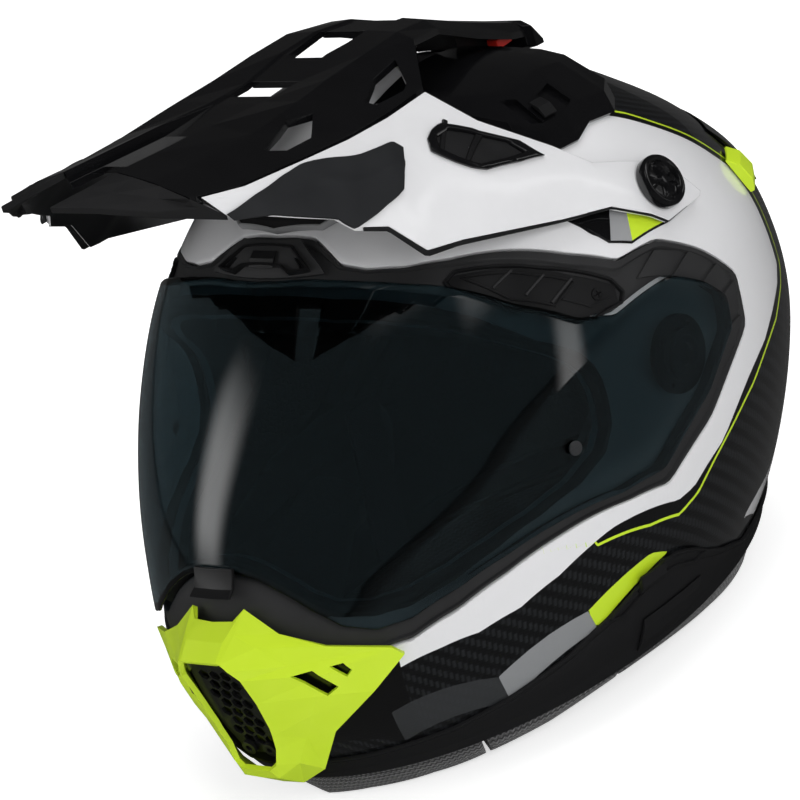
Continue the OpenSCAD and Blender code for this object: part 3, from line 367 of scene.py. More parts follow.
class Mesher:
    """Puts arrays of points and faces into Blender meshes."""

    @staticmethod
    def volume(points: Array, faces: Array) -> float:
        """Signed volume of a closed quad mesh, by the sum of corner triple products."""
        a, b, c, d = (points[faces[:, k]] for k in range(4))
        return float((a * np.cross(b, c)).sum() + (a * np.cross(c, d)).sum()) / 6

    @classmethod
    def piece(cls, name: str, points: Array, faces: Array, uv: Array | None, fields: dict[str, Array],
              sharp: float) -> Piece:
        """A closed object from points in millimetres, its faces turned outwards.

        Args:
            name: the piece's name.
            points: vertices, one row each.
            faces: four vertex numbers a row.
            uv: one pair for each face corner, or None.
            fields: attributes with one number for each vertex.
            sharp: angle in degrees past which an edge stays sharp.

        Returns:
            The object, at the origin, with its place in its mesh.
        """
        if cls.volume(points, faces) < 0:
            faces = faces[:, ::-1]
            if uv is not None:
                uv = uv.reshape(-1, 4, 2)[:, ::-1].reshape(-1, 2)
        mesh = bpy.data.meshes.new(name)
        mesh.from_pydata((points * MM).tolist(), [], faces.tolist())
        if uv is not None:
            layer = mesh.uv_layers.new(name="UVMap")
            layer.data.foreach_set("uv", uv.astype(np.float32).ravel())
        for key, values in fields.items():
            layer = mesh.attributes.new(key, "FLOAT", "POINT")
            layer.data.foreach_set("value", values.astype(np.float32))
        mesh.shade_smooth()
        mesh.set_sharp_from_angle(angle=math.radians(sharp))
        return linked(name, mesh)

    @classmethod
    def skin(cls, name: str, rows: Array, loop: bool = False, uv: Array | None = None,
             fields: dict[str, Array] | None = None, sharp: float = 35.0) -> Piece:
        """A closed solid whose rows go round its section and whose columns run along or round it.

        The walls join each row to the next and the last to the first. Where the columns don't close
        on themselves, each end is closed by quads between a row and its mirror in the list.

        Args:
            name: the piece's name.
            rows: points as rows, columns, three.
            loop: whether the columns close on themselves.
            uv: a pair for each point, or None; the column past the last takes its own value where
                the array has one column more than rows.
            fields: attributes as rows, columns.
            sharp: angle in degrees past which an edge stays sharp.

        Returns:
            The object.
        """
        m, c = rows.shape[:2]
        columns = np.arange(c if loop else c - 1)
        i, j = (g.ravel() for g in np.meshgrid(np.arange(m), columns, indexing="ij"))
        i2, j2 = (i + 1) % m, (j + 1) % c
        faces = [np.stack([i * c + j, i * c + j2, i2 * c + j2, i2 * c + j], -1)]
        pairs = []
        if uv is not None:
            jn = j + 1 if uv.shape[1] > c else j2
            pairs = [np.stack([uv[i, j], uv[i, jn], uv[i2, jn], uv[i2, j]], 1)]
        if not loop:
            k = np.arange(m // 2 - 1)
            ends = (k, k + 1, m - 2 - k, m - 1 - k)
            for col, turn in ((0, 1), (c - 1, -1)):
                faces.append(np.stack([e * c + col for e in ends], -1)[:, ::turn])
                if uv is not None:
                    pairs.append(np.stack([uv[e, col] for e in ends], 1)[:, ::turn])
        flat = {key: v.reshape(-1) for key, v in (fields or {}).items()}
        corner = np.concatenate(pairs).reshape(-1, 2) if pairs else None
        return cls.piece(name, rows.reshape(-1, 3), np.concatenate(faces), corner, flat, sharp)


def sheet(outer: Array, inner: Array) -> Array:
    """Rows of a closed skin between an outer and an inner grid."""
    return np.concatenate([outer, inner[::-1]])


def turned(place: Array, axis: Array, r: Array, rise: Array) -> Array:
    """Rows of a turned surface: circles of radius r about an axis, each point risen along it.

    Args:
        place: where the axis starts.
        axis: its direction, of length one.
        r: radius of each row.
        rise: heights, a row for each radius and a column for each turn.

    Returns:
        Points as rows, columns, three.
    """
    turn = np.linspace(0, 2 * math.pi, rise.shape[1], endpoint=False)[:, None]
    across = unit(np.cross(axis, np.array([0, 0, 1.0])))
    circle = np.cos(turn) * across + np.sin(turn) * np.cross(across, axis)
    return place + r[:, None, None] * circle + rise[..., None] * axis


def linear(code: str) -> tuple[float, float, float, float]:
    """A hex colour in sRGB as linear red, green, blue and one."""
    parts = [int(code[i:i + 2], 16) / 255 for i in (1, 3, 5)]
    return (*[v / 12.92 if v <= 0.04045 else ((v + 0.055) / 1.055) ** 2.4 for v in parts], 1.0)


class Nodes:
    """A node tree while it is being filled."""

    def __init__(self, owner: bpy.types.Material | bpy.types.World) -> None:
        """Empties the tree of a material or a world.

        Args:
            owner: what the tree belongs to.
        """
        owner.use_nodes = True
        self.tree = owner.node_tree
        self.tree.nodes.clear()

    def plug(self, node: bpy.types.Node, key: int | str, value: object) -> None:
        """Links an input to another node's output, or sets its own value.

        Args:
            node: the node.
            key: the input's name or number.
            value: another node's output, or a value.
        """
        if isinstance(value, Socket):
            self.tree.links.new(value, node.inputs[key])
        else:
            node.inputs[key].default_value = value

    def add(self, kind: str, values: dict | tuple = (), out: int | str = 0,
            **settings: object) -> Socket | None:
        """Adds a node with its settings, values and links.

        A Mix node takes its share at 0 and two colours at 6 and 7, and gives their mix at 2. A
        MapRange node takes its value at 0 and the limits of the two ranges at 1 to 4.

        Args:
            kind: the node's type name past ShaderNode.
            values: inputs by name or number, or in order: a value or another node's output.
            out: the output that is given back.
            settings: properties of the node.

        Returns:
            The output, or None for a node that has none.
        """
        node = self.tree.nodes.new(f"ShaderNode{kind}")
        for key, value in settings.items():
            setattr(node, key, value)
        for key, value in values.items() if isinstance(values, dict) else enumerate(values):
            self.plug(node, key, value)
        return node.outputs[out] if len(node.outputs) else None


class Graph(Nodes):
    """A piece's material while it is being made."""

    def __init__(self, name: str) -> None:
        """Starts a material with only its output and its main shader.

        Args:
            name: the material's name.
        """
        self.material = bpy.data.materials.new(name)
        super().__init__(self.material)
        self.shader = self.add("BsdfPrincipled").node
        self.add("OutputMaterial", {"Surface": self.shader.outputs[0]})

    def millimetres(self, scale: float) -> Socket:
        """The place on the piece, from its object coordinates, in units of scale millimetres."""
        where = self.add("TexCoord", out="Object")
        return self.add("VectorMath", {0: where, 3: 1000 / scale}, operation="SCALE")

    def cover(self, painted: str, edge: float = 0.12) -> Socket:
        """One inside a painted area and nought outside, from its distance; a minus edge turns it."""
        far = self.add("Attribute", out="Fac", attribute_name=painted, attribute_type="GEOMETRY")
        return self.add("MapRange", {0: far, 1: -edge, 2: edge})

    def finish(self, height: Socket, depth: float, **values: object) -> bpy.types.Material:
        """Sets the main shader and its relief.

        Args:
            height: the relief, from nought to one.
            depth: its depth in millimetres.
            values: sockets of the shader; an underscore stands for a space.

        Returns:
            The material.
        """
        relief = self.add("Bump", {"Strength": 1.0, "Distance": depth * MM, "Height": height})
        for key, value in {**values, "Normal": relief}.items():
            self.plug(self.shader, key.replace("_", " "), value)
        return self.material


@dataclass(frozen=True)
class MouldedPlastic:
    """Injection-moulded ABS or nylon; the grain of the mould breaks up its highlights."""

    name: str
    colour: str
    pale: str
    roughness: float = 0.5
    grain: float = 0.35
    depth: float = 0.03
    coat: float = 0.0

    def build(self) -> bpy.types.Material:
        """Two close tones in soft patches, and a grain of the mould's own size.

        Returns:
            The material.
        """
        g = Graph(self.name)
        patches = g.add("TexNoise", {"Vector": g.millimetres(14), "Scale": 1.0, "Detail": 3.0})
        colours = {0: patches, 6: linear(self.colour), 7: linear(self.pale)}
        rough = {0: patches, 1: 0.3, 2: 0.7, 3: self.roughness * 0.9, 4: self.roughness * 1.1}
        mould = g.add("TexNoise", {"Vector": g.millimetres(self.grain), "Scale": 1.0, "Detail": 2.0})
        return g.finish(mould, self.depth, IOR=1.5, Coat_Weight=self.coat,
                        Coat_Roughness=0.06, Roughness=g.add("MapRange", rough),
                        Base_Color=g.add("Mix", colours, 2, data_type="RGBA"))


@dataclass(frozen=True)
class LacqueredShell:
    """Composite shell: white lacquer, carbon twill cloth and printed stripes under one clear coat."""

    white: str = "#EDEDEF"
    lime: str = "#D0F02E"
    black: str = "#0B0B0C"
    tow: float = 1.9
    line: float = 1.3

    def build(self) -> bpy.types.Material:
        """Colours by distance to each painted edge; the cloth is a two-by-two twill of flat tows, with
        painted sheen and shade on it.

        Returns:
            The material.
        """
        g = Graph("LacqueredCompositeShell")
        base, raised = self.twill(g)
        band = g.add("Math", (g.cover("stripe_line"), g.cover("white_area", -0.12)), operation="MULTIPLY")
        dark = g.add("Math", (g.cover("dark_stripe"), 0.75), operation="MULTIPLY")
        far = g.add("Attribute", out="Fac", attribute_name="stripe_line", attribute_type="GEOMETRY")
        off = g.add("Math", (far,), operation="ABSOLUTE")
        thin = g.add("MapRange", {0: off, 1: self.line / 2 + 0.1, 2: self.line / 2 - 0.1})
        for share, colour in (
            (g.cover("white_area"), self.white), (band, self.black), (g.cover("chin_dark"), self.black),
            (g.cover("grey_stripe"), "#8E9092"), (dark, "#3A3C3E"), (g.cover("lime_stripe"), self.lime),
            (g.cover("rear_wedge"), self.white), (thin, self.lime),
        ):
            base = g.add("Mix", {0: share, 6: base, 7: linear(colour)}, 2, data_type="RGBA")
        waves = g.add("TexNoise", {"Vector": g.millimetres(9), "Scale": 1.0, "Detail": 1.0})
        peel = g.add("Math", (waves, 0.25), operation="MULTIPLY")
        tows = g.add("Math", (raised, 0.3), operation="MULTIPLY")
        height = g.add("Math", (peel, tows), operation="ADD")
        return g.finish(height, 0.05, Base_Color=base, Roughness=0.28, IOR=1.5, Coat_Weight=1.0,
                        Coat_Roughness=0.03)

    def twill(self, g: Graph) -> tuple[Socket, Socket]:
        """Carbon cloth on the UV map, which is in millimetres.

        A cell is one tow wide. A cell shows its warp where the sum of its column and row numbers,
        taken by four, is under two, and its weft elsewhere, which draws the twill's diagonal. Warp and
        weft are one black cloth given two tones, a painted sheen for the light along the tows. A tow's
        height falls by a square from its middle, and its colour darkens with it towards its edges as
        painted shade.

        Args:
            g: the material being made.

        Returns:
            The colour, with its painted sheen and shade, and the height.
        """
        part = g.add("SeparateXYZ", (g.add("TexCoord", out="UV"),)).node.outputs
        x, y = (g.add("Math", (part[k], self.tow), operation="DIVIDE") for k in range(2))
        column, row = (g.add("Math", (v,), operation="FLOOR") for v in (x, y))
        cell = g.add("Math", (column, row), operation="ADD")
        turn = g.add("Math", (cell, 4.0), operation="FLOORED_MODULO")
        warp = g.add("Math", (turn, 2.0), operation="LESS_THAN")
        over, under = (g.add("Math", (v,), operation="FRACT") for v in (x, y))
        across = g.add("Mix", {0: warp, 2: under, 3: over})
        twice = g.add("Math", (across, 2.0, 1.0), operation="MULTIPLY")
        side = g.add("Math", (g.add("Math", (twice, 1.0), operation="SUBTRACT"),), operation="ABSOLUTE")
        rise = g.add("Math", (1.0, g.add("Math", (side, 2.0), operation="POWER")), operation="SUBTRACT")
        # Painted sheen: warp and weft of the same black cloth get a darker and a lighter tone
        tone = g.add("Mix", {0: warp, 6: linear("#101113"), 7: linear("#2A2C2F")}, 2, data_type="RGBA")
        # Painted shade: each tow's colour darkens towards its edges, where its height falls
        tow_shading = g.add("Math", (rise, 0.6), operation="MULTIPLY")
        return g.add("Mix", {0: tow_shading, 6: linear("#08090A"), 7: tone}, 2, data_type="RGBA"), rise


@dataclass(frozen=True)
class SmokedPolycarbonate:
    """Hard-coated polycarbonate sheet, tinted; clear enough to show what is behind it."""

    name: str = "SmokedPolycarbonateVisor"
    colour: str = "#55676D"

    def build(self) -> bpy.types.Material:
        """Full transmission with a tint, and a trace of waviness in the hard coat.

        Returns:
            The material.
        """
        g = Graph(self.name)
        wave = g.add("TexNoise", {"Vector": g.millimetres(60), "Scale": 1.0, "Detail": 1.0})
        share = g.add("Math", (wave, 0.08), operation="MULTIPLY")
        tint = g.add("Mix", {0: share, 6: linear(self.colour), 7: linear("#42545A")}, 2, data_type="RGBA")
        return g.finish(wave, 0.02, Base_Color=tint, Roughness=0.015, IOR=1.5, Transmission_Weight=1.0,
                        Coat_Weight=0.4, Coat_Roughness=0.02)


@dataclass(frozen=True)
class Grained:
    """Rubber or steel: two tones that follow a fine grain, which is also its relief."""

    name: str
    colour: str
    pale: str
    grain: float
    detail: float
    depth: float
    roughness: float
    metallic: float = 0.0

    def build(self) -> bpy.types.Material:
        """One noise gives the tones and the relief; its patches are a grain across.

        Returns:
            The material.
        """
        g = Graph(self.name)
        grain = g.add("TexNoise", {"Vector": g.millimetres(self.grain), "Scale": 1.0, "Detail": self.detail})
        tone = g.add("Mix", {0: grain, 6: linear(self.colour), 7: linear(self.pale)}, 2, data_type="RGBA")
        return g.finish(grain, self.depth, Base_Color=tone, Roughness=self.roughness,
                        Metallic=self.metallic)


@dataclass(frozen=True)
class ExpandedFoam:
    """Expanded polystyrene with a dark dip coat; its moulded beads show as flat cells."""

    name: str = "DarkCoatedExpandedPolystyrene"
    bead: float = 3.0

    def build(self) -> bpy.types.Material:
        """Cells three millimetres across with fine dark seams.

        Returns:
            The material.
        """
        g = Graph(self.name)
        edge = g.add("TexVoronoi", {"Vector": g.millimetres(self.bead), "Scale": 1.0}, "Distance",
                     feature="DISTANCE_TO_EDGE")
        seam = g.add("MapRange", {0: edge, 1: 0.0, 2: 0.12})
        tone = g.add("Mix", {0: seam, 6: linear("#121213"), 7: linear("#2B2B2E")}, 2, data_type="RGBA")
        return g.finish(seam, 0.12, Base_Color=tone, Roughness=0.8)


@dataclass(frozen=True)
class KnittedLining:
    """Brushed polyester knit; the pale zig-zags, where rows of stitches catch the light, are painted
    highlights.
    """

    name: str
    colour: str = "#1B1B1D"
    # pale colour of the painted highlights on the stitch rows
    thread: str = "#8C8C8E"
    stitch: float = 2.6
    amount: float = 0.5

    def build(self) -> bpy.types.Material:
        """Zig-zag rows: a triangle wave along one axis shifts the rows across the other.

        Returns:
            The material.
        """
        g = Graph(self.name)
        part = g.add("SeparateXYZ", (g.add("TexCoord", out="UV"),)).node.outputs
        x, y = (g.add("Math", (part[k], self.stitch), operation="DIVIDE") for k in range(2))
        swing = g.add("Math", (x, 0.5), operation="PINGPONG")
        row = g.add("Math", (g.add("Math", (y, swing), operation="ADD"),), operation="FRACT")
        twice = g.add("Math", (row, 2.0), operation="MULTIPLY")
        line = g.add("Math", (g.add("Math", (twice, 1.0), operation="SUBTRACT"),), operation="ABSOLUTE")
        fibres = g.add("TexNoise", {"Vector": g.millimetres(1.7), "Scale": 1.0, "Detail": 4.0})
        # Painted highlight: the pale colour lies along the crests of the stitch rows, broken up by the
        # fibres
        stitch_glint = g.add("Math", (g.add("Math", (line, 3.0), operation="POWER"), fibres), operation="MULTIPLY")
        share = g.add("Math", (stitch_glint, self.amount * 2), operation="MULTIPLY")
        tone = g.add("Mix", {0: share, 6: linear(self.colour), 7: linear(self.thread)}, 2, data_type="RGBA")
        return g.finish(g.add("Math", (line, fibres), operation="ADD"), 0.35, Base_Color=tone,
                        Roughness=0.9, Sheen_Weight=0.35, Sheen_Roughness=0.5)


@dataclass(frozen=True)
class WovenStrap:
    """Polyester webbing: a plain weave of flat yarns, ribbed along its length."""

    name: str = "WovenPolyesterStrap"
    yarn: float = 1.5

    def build(self) -> bpy.types.Material:
        """Yarns both ways: a sine along each axis of the object, multiplied. The raised yarns are painted
        lighter and the sunken ones darker, as painted light and shade.

        Returns:
            The material.
        """
        g = Graph(self.name)
        part = g.add("SeparateXYZ", (g.millimetres(self.yarn),)).node.outputs
        turns = [g.add("Math", (part[k], math.pi * 2), operation="MULTIPLY") for k in (1, 2)]
        waves = tuple(g.add("Math", (v,), operation="SINE") for v in turns)
        weave = g.add("Math", waves, operation="MULTIPLY")
        half = g.add("Math", (weave, 0.5), operation="MULTIPLY")
        share = g.add("Math", (half, 0.5), operation="ADD")
        # Painted light and shade: raised yarns lighter, sunken ones darker
        tone = g.add("Mix", {0: share, 6: linear("#151517"), 7: linear("#2B2B2E")}, 2, data_type="RGBA")
        return g.finish(weave, 0.15, Base_Color=tone, Roughness=0.75, Sheen_Weight=0.2)


def finishes() -> dict[str, bpy.types.Material]:
    """Each material of the helmet by the short name that the pieces use.

    Returns:
        The materials by their short names.
    """
    made = {
        "shell": LacqueredShell(),
        # Matt and warm: the eyeport's trim takes the light as a soft grey
        "trim": MouldedPlastic("MattCharcoalNylon", "#2B2B2C", "#353536", 0.56),
        # Mirror-like: the peak and the vents show the studio's cards
        "gloss": MouldedPlastic("PolishedBlackABS", "#0B0B0C", "#101012", 0.14, depth=0.002, coat=1.0),
        # Half-matt: small fittings have broad dim highlights
        "satin": MouldedPlastic("SatinBlackABS", "#141415", "#1D1D1E", 0.38),
        # Flat black with the mould's sand, along the peak's front
        "lip": MouldedPlastic("MattBlackNylon", "#1B1B1C", "#232324", 0.6),
        "panel": MouldedPlastic("CharcoalNylonPanel", "#202123", "#292A2C", 0.5),
        # White lacquer under a clear coat, slightly cooler than the shell's
        "arm": MouldedPlastic("WhiteLacqueredABS", "#E6E6E8", "#EDEDEF", 0.22, depth=0.003, coat=1.0),
        # Dyed in the mass, so that even its edges are bright
        "lime": MouldedPlastic("LimePolypropylene", "#D0F02A", "#D8F636", 0.34, depth=0.012),
        "red": MouldedPlastic("RedMouldedNylon", "#B8231A", "#C42A1F", 0.4),
        "grey": MouldedPlastic("GreyMouldedABS", "#8A8B8C", "#949596", 0.42),
        "inlay": MouldedPlastic("GreyReflectiveFilm", "#9A9B9D", "#A4A5A7", 0.35, 0.25, 0.01),
        "visor": SmokedPolycarbonate(),
        "sun": SmokedPolycarbonate("DarkPolycarbonateSunVisor", "#2E3033"),
        # Sanded mould grain: dull, with hardly a highlight
        "rubber": Grained("MouldedRubber", "#141415", "#202022", 0.5, 3.0, 0.05, 0.72),
        # Zinc plating: bright, with a grain that breaks up its highlights
        "steel": Grained("BrightPlatedSteel", "#B9BBBE", "#8F9194", 0.6, 2.0, 0.01, 0.28, 1.0),
        "foam": ExpandedFoam(),
        "knit": KnittedLining("ZigZagKnitNeckRoll"),
        "plush": KnittedLining("BrushedKnitLining", "#161618", "#3A3A3E", 3.2, 0.35),
        "strap": WovenStrap(),
    }
    return {key: finish.build() for key, finish in made.items()}


FINISH: dict[str, bpy.types.Material] = {}


def dress(piece: Piece, finish: str, node: str = "") -> Piece:
    """Gives a piece its material, the body it moves with and the solid it stands for.

    Args:
        piece: the object.
        finish: short name of the material.
        node: the solid that it replaces and moves with; without one it rides on the root.

    Returns:
        The piece.
    """
    body = frame["nodes"][node]["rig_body"] if node else "root"
    piece.data.materials.clear()
    piece.data.materials.append(FINISH[finish])
    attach(piece, body)
    if node:
        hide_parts(node)
    LOG.info("%s: %d faces, rides on %s", piece.name, len(piece.data.polygons), body)
    return piece


def rounded(piece: Piece, width: float, angle: float = 30.0) -> bpy.types.Modifier:
    """Gives the edges of a piece past an angle a radius in millimetres.

    Args:
        piece: the piece.
        width: the radius.
        angle: the least angle of an edge that is rounded, in degrees.

    Returns:
        The modifier.
    """
    cut = piece.modifiers.new("EdgeRadius", "BEVEL")
    cut.width, cut.segments, cut.limit_method, cut.harden_normals = width * MM, 2, "ANGLE", True
    cut.angle_limit = math.radians(angle)
    return cut


def refined(node: str, finish: str, bevel: float = 0.4, angle: float = 24.0, smooth: int = 0,
            under: str = "") -> Piece:
    """A copy of a solid with its doubles merged, its flat faces joined and its edges rounded.

    Args:
        node: the solid.
        finish: short name of the material.
        bevel: radius of the edges in millimetres.
        angle: the least angle of an edge that is rounded, in degrees.
        smooth: how many times the surface is subdivided first; edges past 32 degrees stay sharp.
        under: finish of the faces that look towards the middle of the helmet, or nothing.

    Returns:
        The piece that replaces the solid.
    """
    bm = welded(frame["nodes"][node].data)
    if smooth:
        bmesh.ops.join_triangles(bm, faces=bm.faces, angle_face_threshold=math.radians(30),
                                 angle_shape_threshold=math.radians(60))
        crease = bm.edges.layers.float.new("crease_edge")
        for edge in bm.edges:
            if len(edge.link_faces) == 2 and edge.calc_face_angle() > math.radians(32):
                edge[crease] = 1.0
    else:
        bmesh.ops.dissolve_limit(bm, angle_limit=math.radians(0.6), verts=bm.verts, edges=bm.edges)
    marks = []
    for face in bm.faces:
        inwards = face.normal.x * face.calc_center_median().x < 0 or face.normal.z < -0.75
        marks.append(int(bool(under) and inwards))
    mesh = stored(bm, bpy.data.meshes.new(f"{node}_form"))
    mesh.shade_smooth()
    mesh.set_sharp_from_angle(angle=math.radians(max(angle, 12)))
    made = linked(f"{node}_form", mesh)
    if smooth:
        rounder = made.modifiers.new("Rounder", "SUBSURF")
        rounder.levels = rounder.render_levels = smooth
    cut = rounded(made, bevel, angle)
    cut.profile, cut.use_clamp_overlap, cut.miter_outer = 0.6, True, "MITER_ARC"
    dress(made, finish, node)
    if under:
        mesh.materials.append(FINISH[under])
        mesh.polygons.foreach_set("material_index", marks)
    return made


def inside(m: Array, polygon: Array) -> Array:
    """Whether map points lie in a polygon: an odd number of its sides lie to their right.

    Args:
        m: map points, one row each.
        polygon: its corners in order.

    Returns:
        True for each point that lies in it.
    """
    a, b = polygon, np.roll(polygon, -1, 0)
    x, y = m[:, :1], m[:, 1:]
    rise = np.where(a[:, 1] == b[:, 1], 1e-9, b[:, 1] - a[:, 1])
    cross = (a[:, 1] > y) != (b[:, 1] > y)
    return (cross & (x < a[:, 0] + (y - a[:, 1]) * (b[:, 0] - a[:, 0]) / rise)).sum(1) % 2 == 1


def distance(points: Array, line: Array) -> Array:
    """Least distance from points to a line of straight segments, in millimetres.

    Args:
        points: one row each.
        line: its corners in order.

    Returns:
        One distance a point.
    """
    best = np.full(len(points), 1e6)
    for a, b in zip(line[:-1], line[1:], strict=True):
        way = b - a
        f = np.clip((points - a) @ way / max(way @ way, 1e-9), 0, 1)
        best = np.minimum(best, np.linalg.norm(points - a - f[:, None] * way, axis=1))
    return best


@dataclass(frozen=True)
class PaintEdge:
    """An edge of a painted area on the left half, as turns and heights.

    The line is what distances are measured to. The closing points only make an area of it; without
    them the line is a ring.
    """

    line: Pairs
    closing: Pairs = ()

    def signed(self, m: Array, points: Array) -> Array:
        """Distance of shell points to the line in millimetres, above nought inside the area.

        Args:
            m: map points.
            points: the same points on the shell.

        Returns:
            One distance a point.
        """
        drawn = FORM.charted(self.line + (() if self.closing else self.line[:1]))
        area = np.vstack([drawn, FORM.charted(self.closing)]) if self.closing else drawn
        far = distance(points, FORM.on_map(dense(drawn, 6)))
        return np.where(inside(m, area), far, -far)


PAINT = {
    "white_area": PaintEdge(
        ((30, 64), (41, 69.6), (48, 69.6), (55, 72), (62, 77.4), (69, 83.4), (71.5, 84.6), (85, 76.8),
         (88.5, 77.4), (91.5, 82.2), (96, 87), (103.5, 102), (111.5, 109.8), (117, 116.4), (122.5, 121.8),
         (126, 128), (128.5, 165), (129.5, 174), (127, 186), (124, 200), (120, 212), (115.5, 222),
         (108, 231), (100, 245), (92, 262)),
        ((0, 263), (0, 64))),
    "stripe_line": PaintEdge(
        ((69, 81), (79, 75), (85.5, 70.2), (89.5, 73.2), (93.5, 81.6), (96.5, 86.4), (99.5, 90.6),
         (106, 98.4), (112, 106.2), (118, 111), (125, 118.8), (128.5, 125.4), (131, 163.8), (132, 173.4),
         (129.5, 186), (126.5, 200), (122.5, 212), (118, 223.2), (111, 231.2), (105, 240), (95, 262)),
        ((0, 263), (0, 90), (60, 90))),
    "chin_dark": PaintEdge(((0, 26), (0, 82), (30, 80), (34, 70), (34, 26))),
    "grey_stripe": PaintEdge(((50, 45), (67, 54.6), (69, 43.5), (51.5, 30))),
    "dark_stripe": PaintEdge(((30, 47), (50, 45), (51.5, 30), (30, 30))),
    "lime_stripe": PaintEdge(((67, 54.6), (79.5, 62.4), (83.5, 57.6), (69, 43.5))),
    "rear_wedge": PaintEdge(((108.5, 38.5), (119.5, 42.5), (127.5, 43.5), (118, 30))),
}


@dataclass
class PaintedShell:
    """Laminated shell, stepped down round the eyeport, with the beading round its lower edge."""

    step_depth: float = 6.0
    step_corner: Pairs = ((0.15, -0.7), (0.35, -0.2), (0.6, 0.0))  # distance past the trim, level
    spread: float = 1.15  # packs the rows closer near the trim
    rows: int = 100
    bead: float = 1.5
    degree_mm: float = 2.1  # length of a degree round the shell, for the cloth
    bead_top: Pairs = (
        (0, 28), (20, 28), (40, 30), (52, 34), (64, 40), (75, 50), (82, 57), (88, 52), (99, 38), (111, 27),
        (180, 27))

    @staticmethod
    def meridian(m: Array) -> Array:
        """Length up the back of the shell from its edge to the level of a map point.

        Args:
            m: map points.

        Returns:
            One length a point, in millimetres.
        """
        u = np.linspace(0, FORM.top, 400)
        p = FORM.at(np.full(400, 150.0), u)
        run = np.concatenate([[0], np.cumsum(np.linalg.norm(np.diff(p, axis=0), axis=1))])
        return np.interp(FORM.top * (1 - np.linalg.norm(m, axis=-1)), u, run)

    def shell(self) -> None:
        """The laminate: rows go from the opening over the step's corner and down the bent spokes."""
        rows = [lerp(PATHS.opening, PATHS.visor, f) for f in (0, 1 / 3, 2 / 3)] + [PATHS.visor]
        rows += [PATHS.moved(PATHS.trim, PATHS.visor, 0.1)]
        rows += [PATHS.moved(PATHS.trim, PATHS.bend, away) for away, _ in self.step_corner]
        high = [-self.step_depth] * 5 + [h for _, h in self.step_corner] + [0.0] * self.rows
        share = (np.arange(1, self.rows + 1) / self.rows) ** self.spread
        m = np.concatenate([rows, PATHS.bent(PATHS.trim, PATHS.bend, PATHS.base(), share[:, None, None])])
        h = np.array(high)[:, None] * np.ones(PATHS.count)
        left = np.arange(PATHS.count) <= PATHS.count // 2
        u = np.abs(FORM.turn(m)) * np.where(left, 1, -1) * self.degree_mm
        uv = np.stack([u, self.meridian(m)], -1)
        uv = np.concatenate([uv, uv[:, :1] * np.array([-1, 1])], 1)
        flat = np.stack([np.abs(m[..., 0]).ravel(), m[..., 1].ravel()], -1)
        points = FORM.on_map(flat)
        shown = {key: edge.signed(flat, points).reshape(h.shape) for key, edge in PAINT.items()}
        fields = {key: np.concatenate([f, f[::-1]]) for key, f in shown.items()}
        body = sheet(FORM.lifted(m, h), FORM.lifted(m, h - WALL))
        made = Mesher.skin("outer_shell_form", body, True, np.concatenate([uv, uv[::-1]]), fields, 40)
        dress(made, "shell", "outer_shell")

    def beading(self) -> None:
        """Rubber edge: a band up the outside, rolled under the laminate and back up inside it."""
        base = PATHS.base()
        edge = np.array(self.bead_top, float)
        r = 1 - FORM.level(np.interp(np.abs(PATHS.turns), edge[:, 0], edge[:, 1])) / FORM.top
        slope = 2 * ((base - PATHS.bend) * unit(base)).sum(1)
        rise = (np.linalg.norm(base, axis=1) - r) / slope
        seat, proud = SEAT_GAP, SEAT_GAP + self.bead
        foot, inner = EDGE_Z - BEAD_DROP, -WALL - SEAT_GAP

        def face(f: float, h: float) -> Array:
            """Row at share f of the way up the outside."""
            return PATHS.lifted(PATHS.bent(base, PATHS.bend, PATHS.trim, (f * rise)[:, None]), h)

        def ring(h: float, level: float) -> Array:
            """Row round the bottom, h out from the edge's own section."""
            one = np.ones(PATHS.count)
            return FORM.beside(PATHS.turns, EDGE_Z * one, h * one, level)

        down = ((1, seat), (1, proud - 0.5), (0.985, proud - 0.1), (0.96, proud), (0.9, proud),
                (0.86, proud - 0.5), (0.82, proud), (0.6, proud), (0.4, proud), (0.2, proud), (0, proud))
        under = ((proud - 0.2, foot + 1.2), (proud - 0.8, foot + 0.2), (proud - 1.4, foot),
                 (inner + 0.5, foot), (inner, foot + 0.5), (inner, EDGE_Z - SEAT_GAP),
                 (seat, EDGE_Z - SEAT_GAP))
        rows = [face(*v) for v in down] + [ring(*v) for v in under] + [face(1 / 3, seat), face(2 / 3, seat)]
        dress(Mesher.skin("base_trim_form", np.array(rows), True), "rubber", "base_trim")

    def build(self) -> None:
        """Makes the shell and its beading."""
        self.shell()
        self.beading()


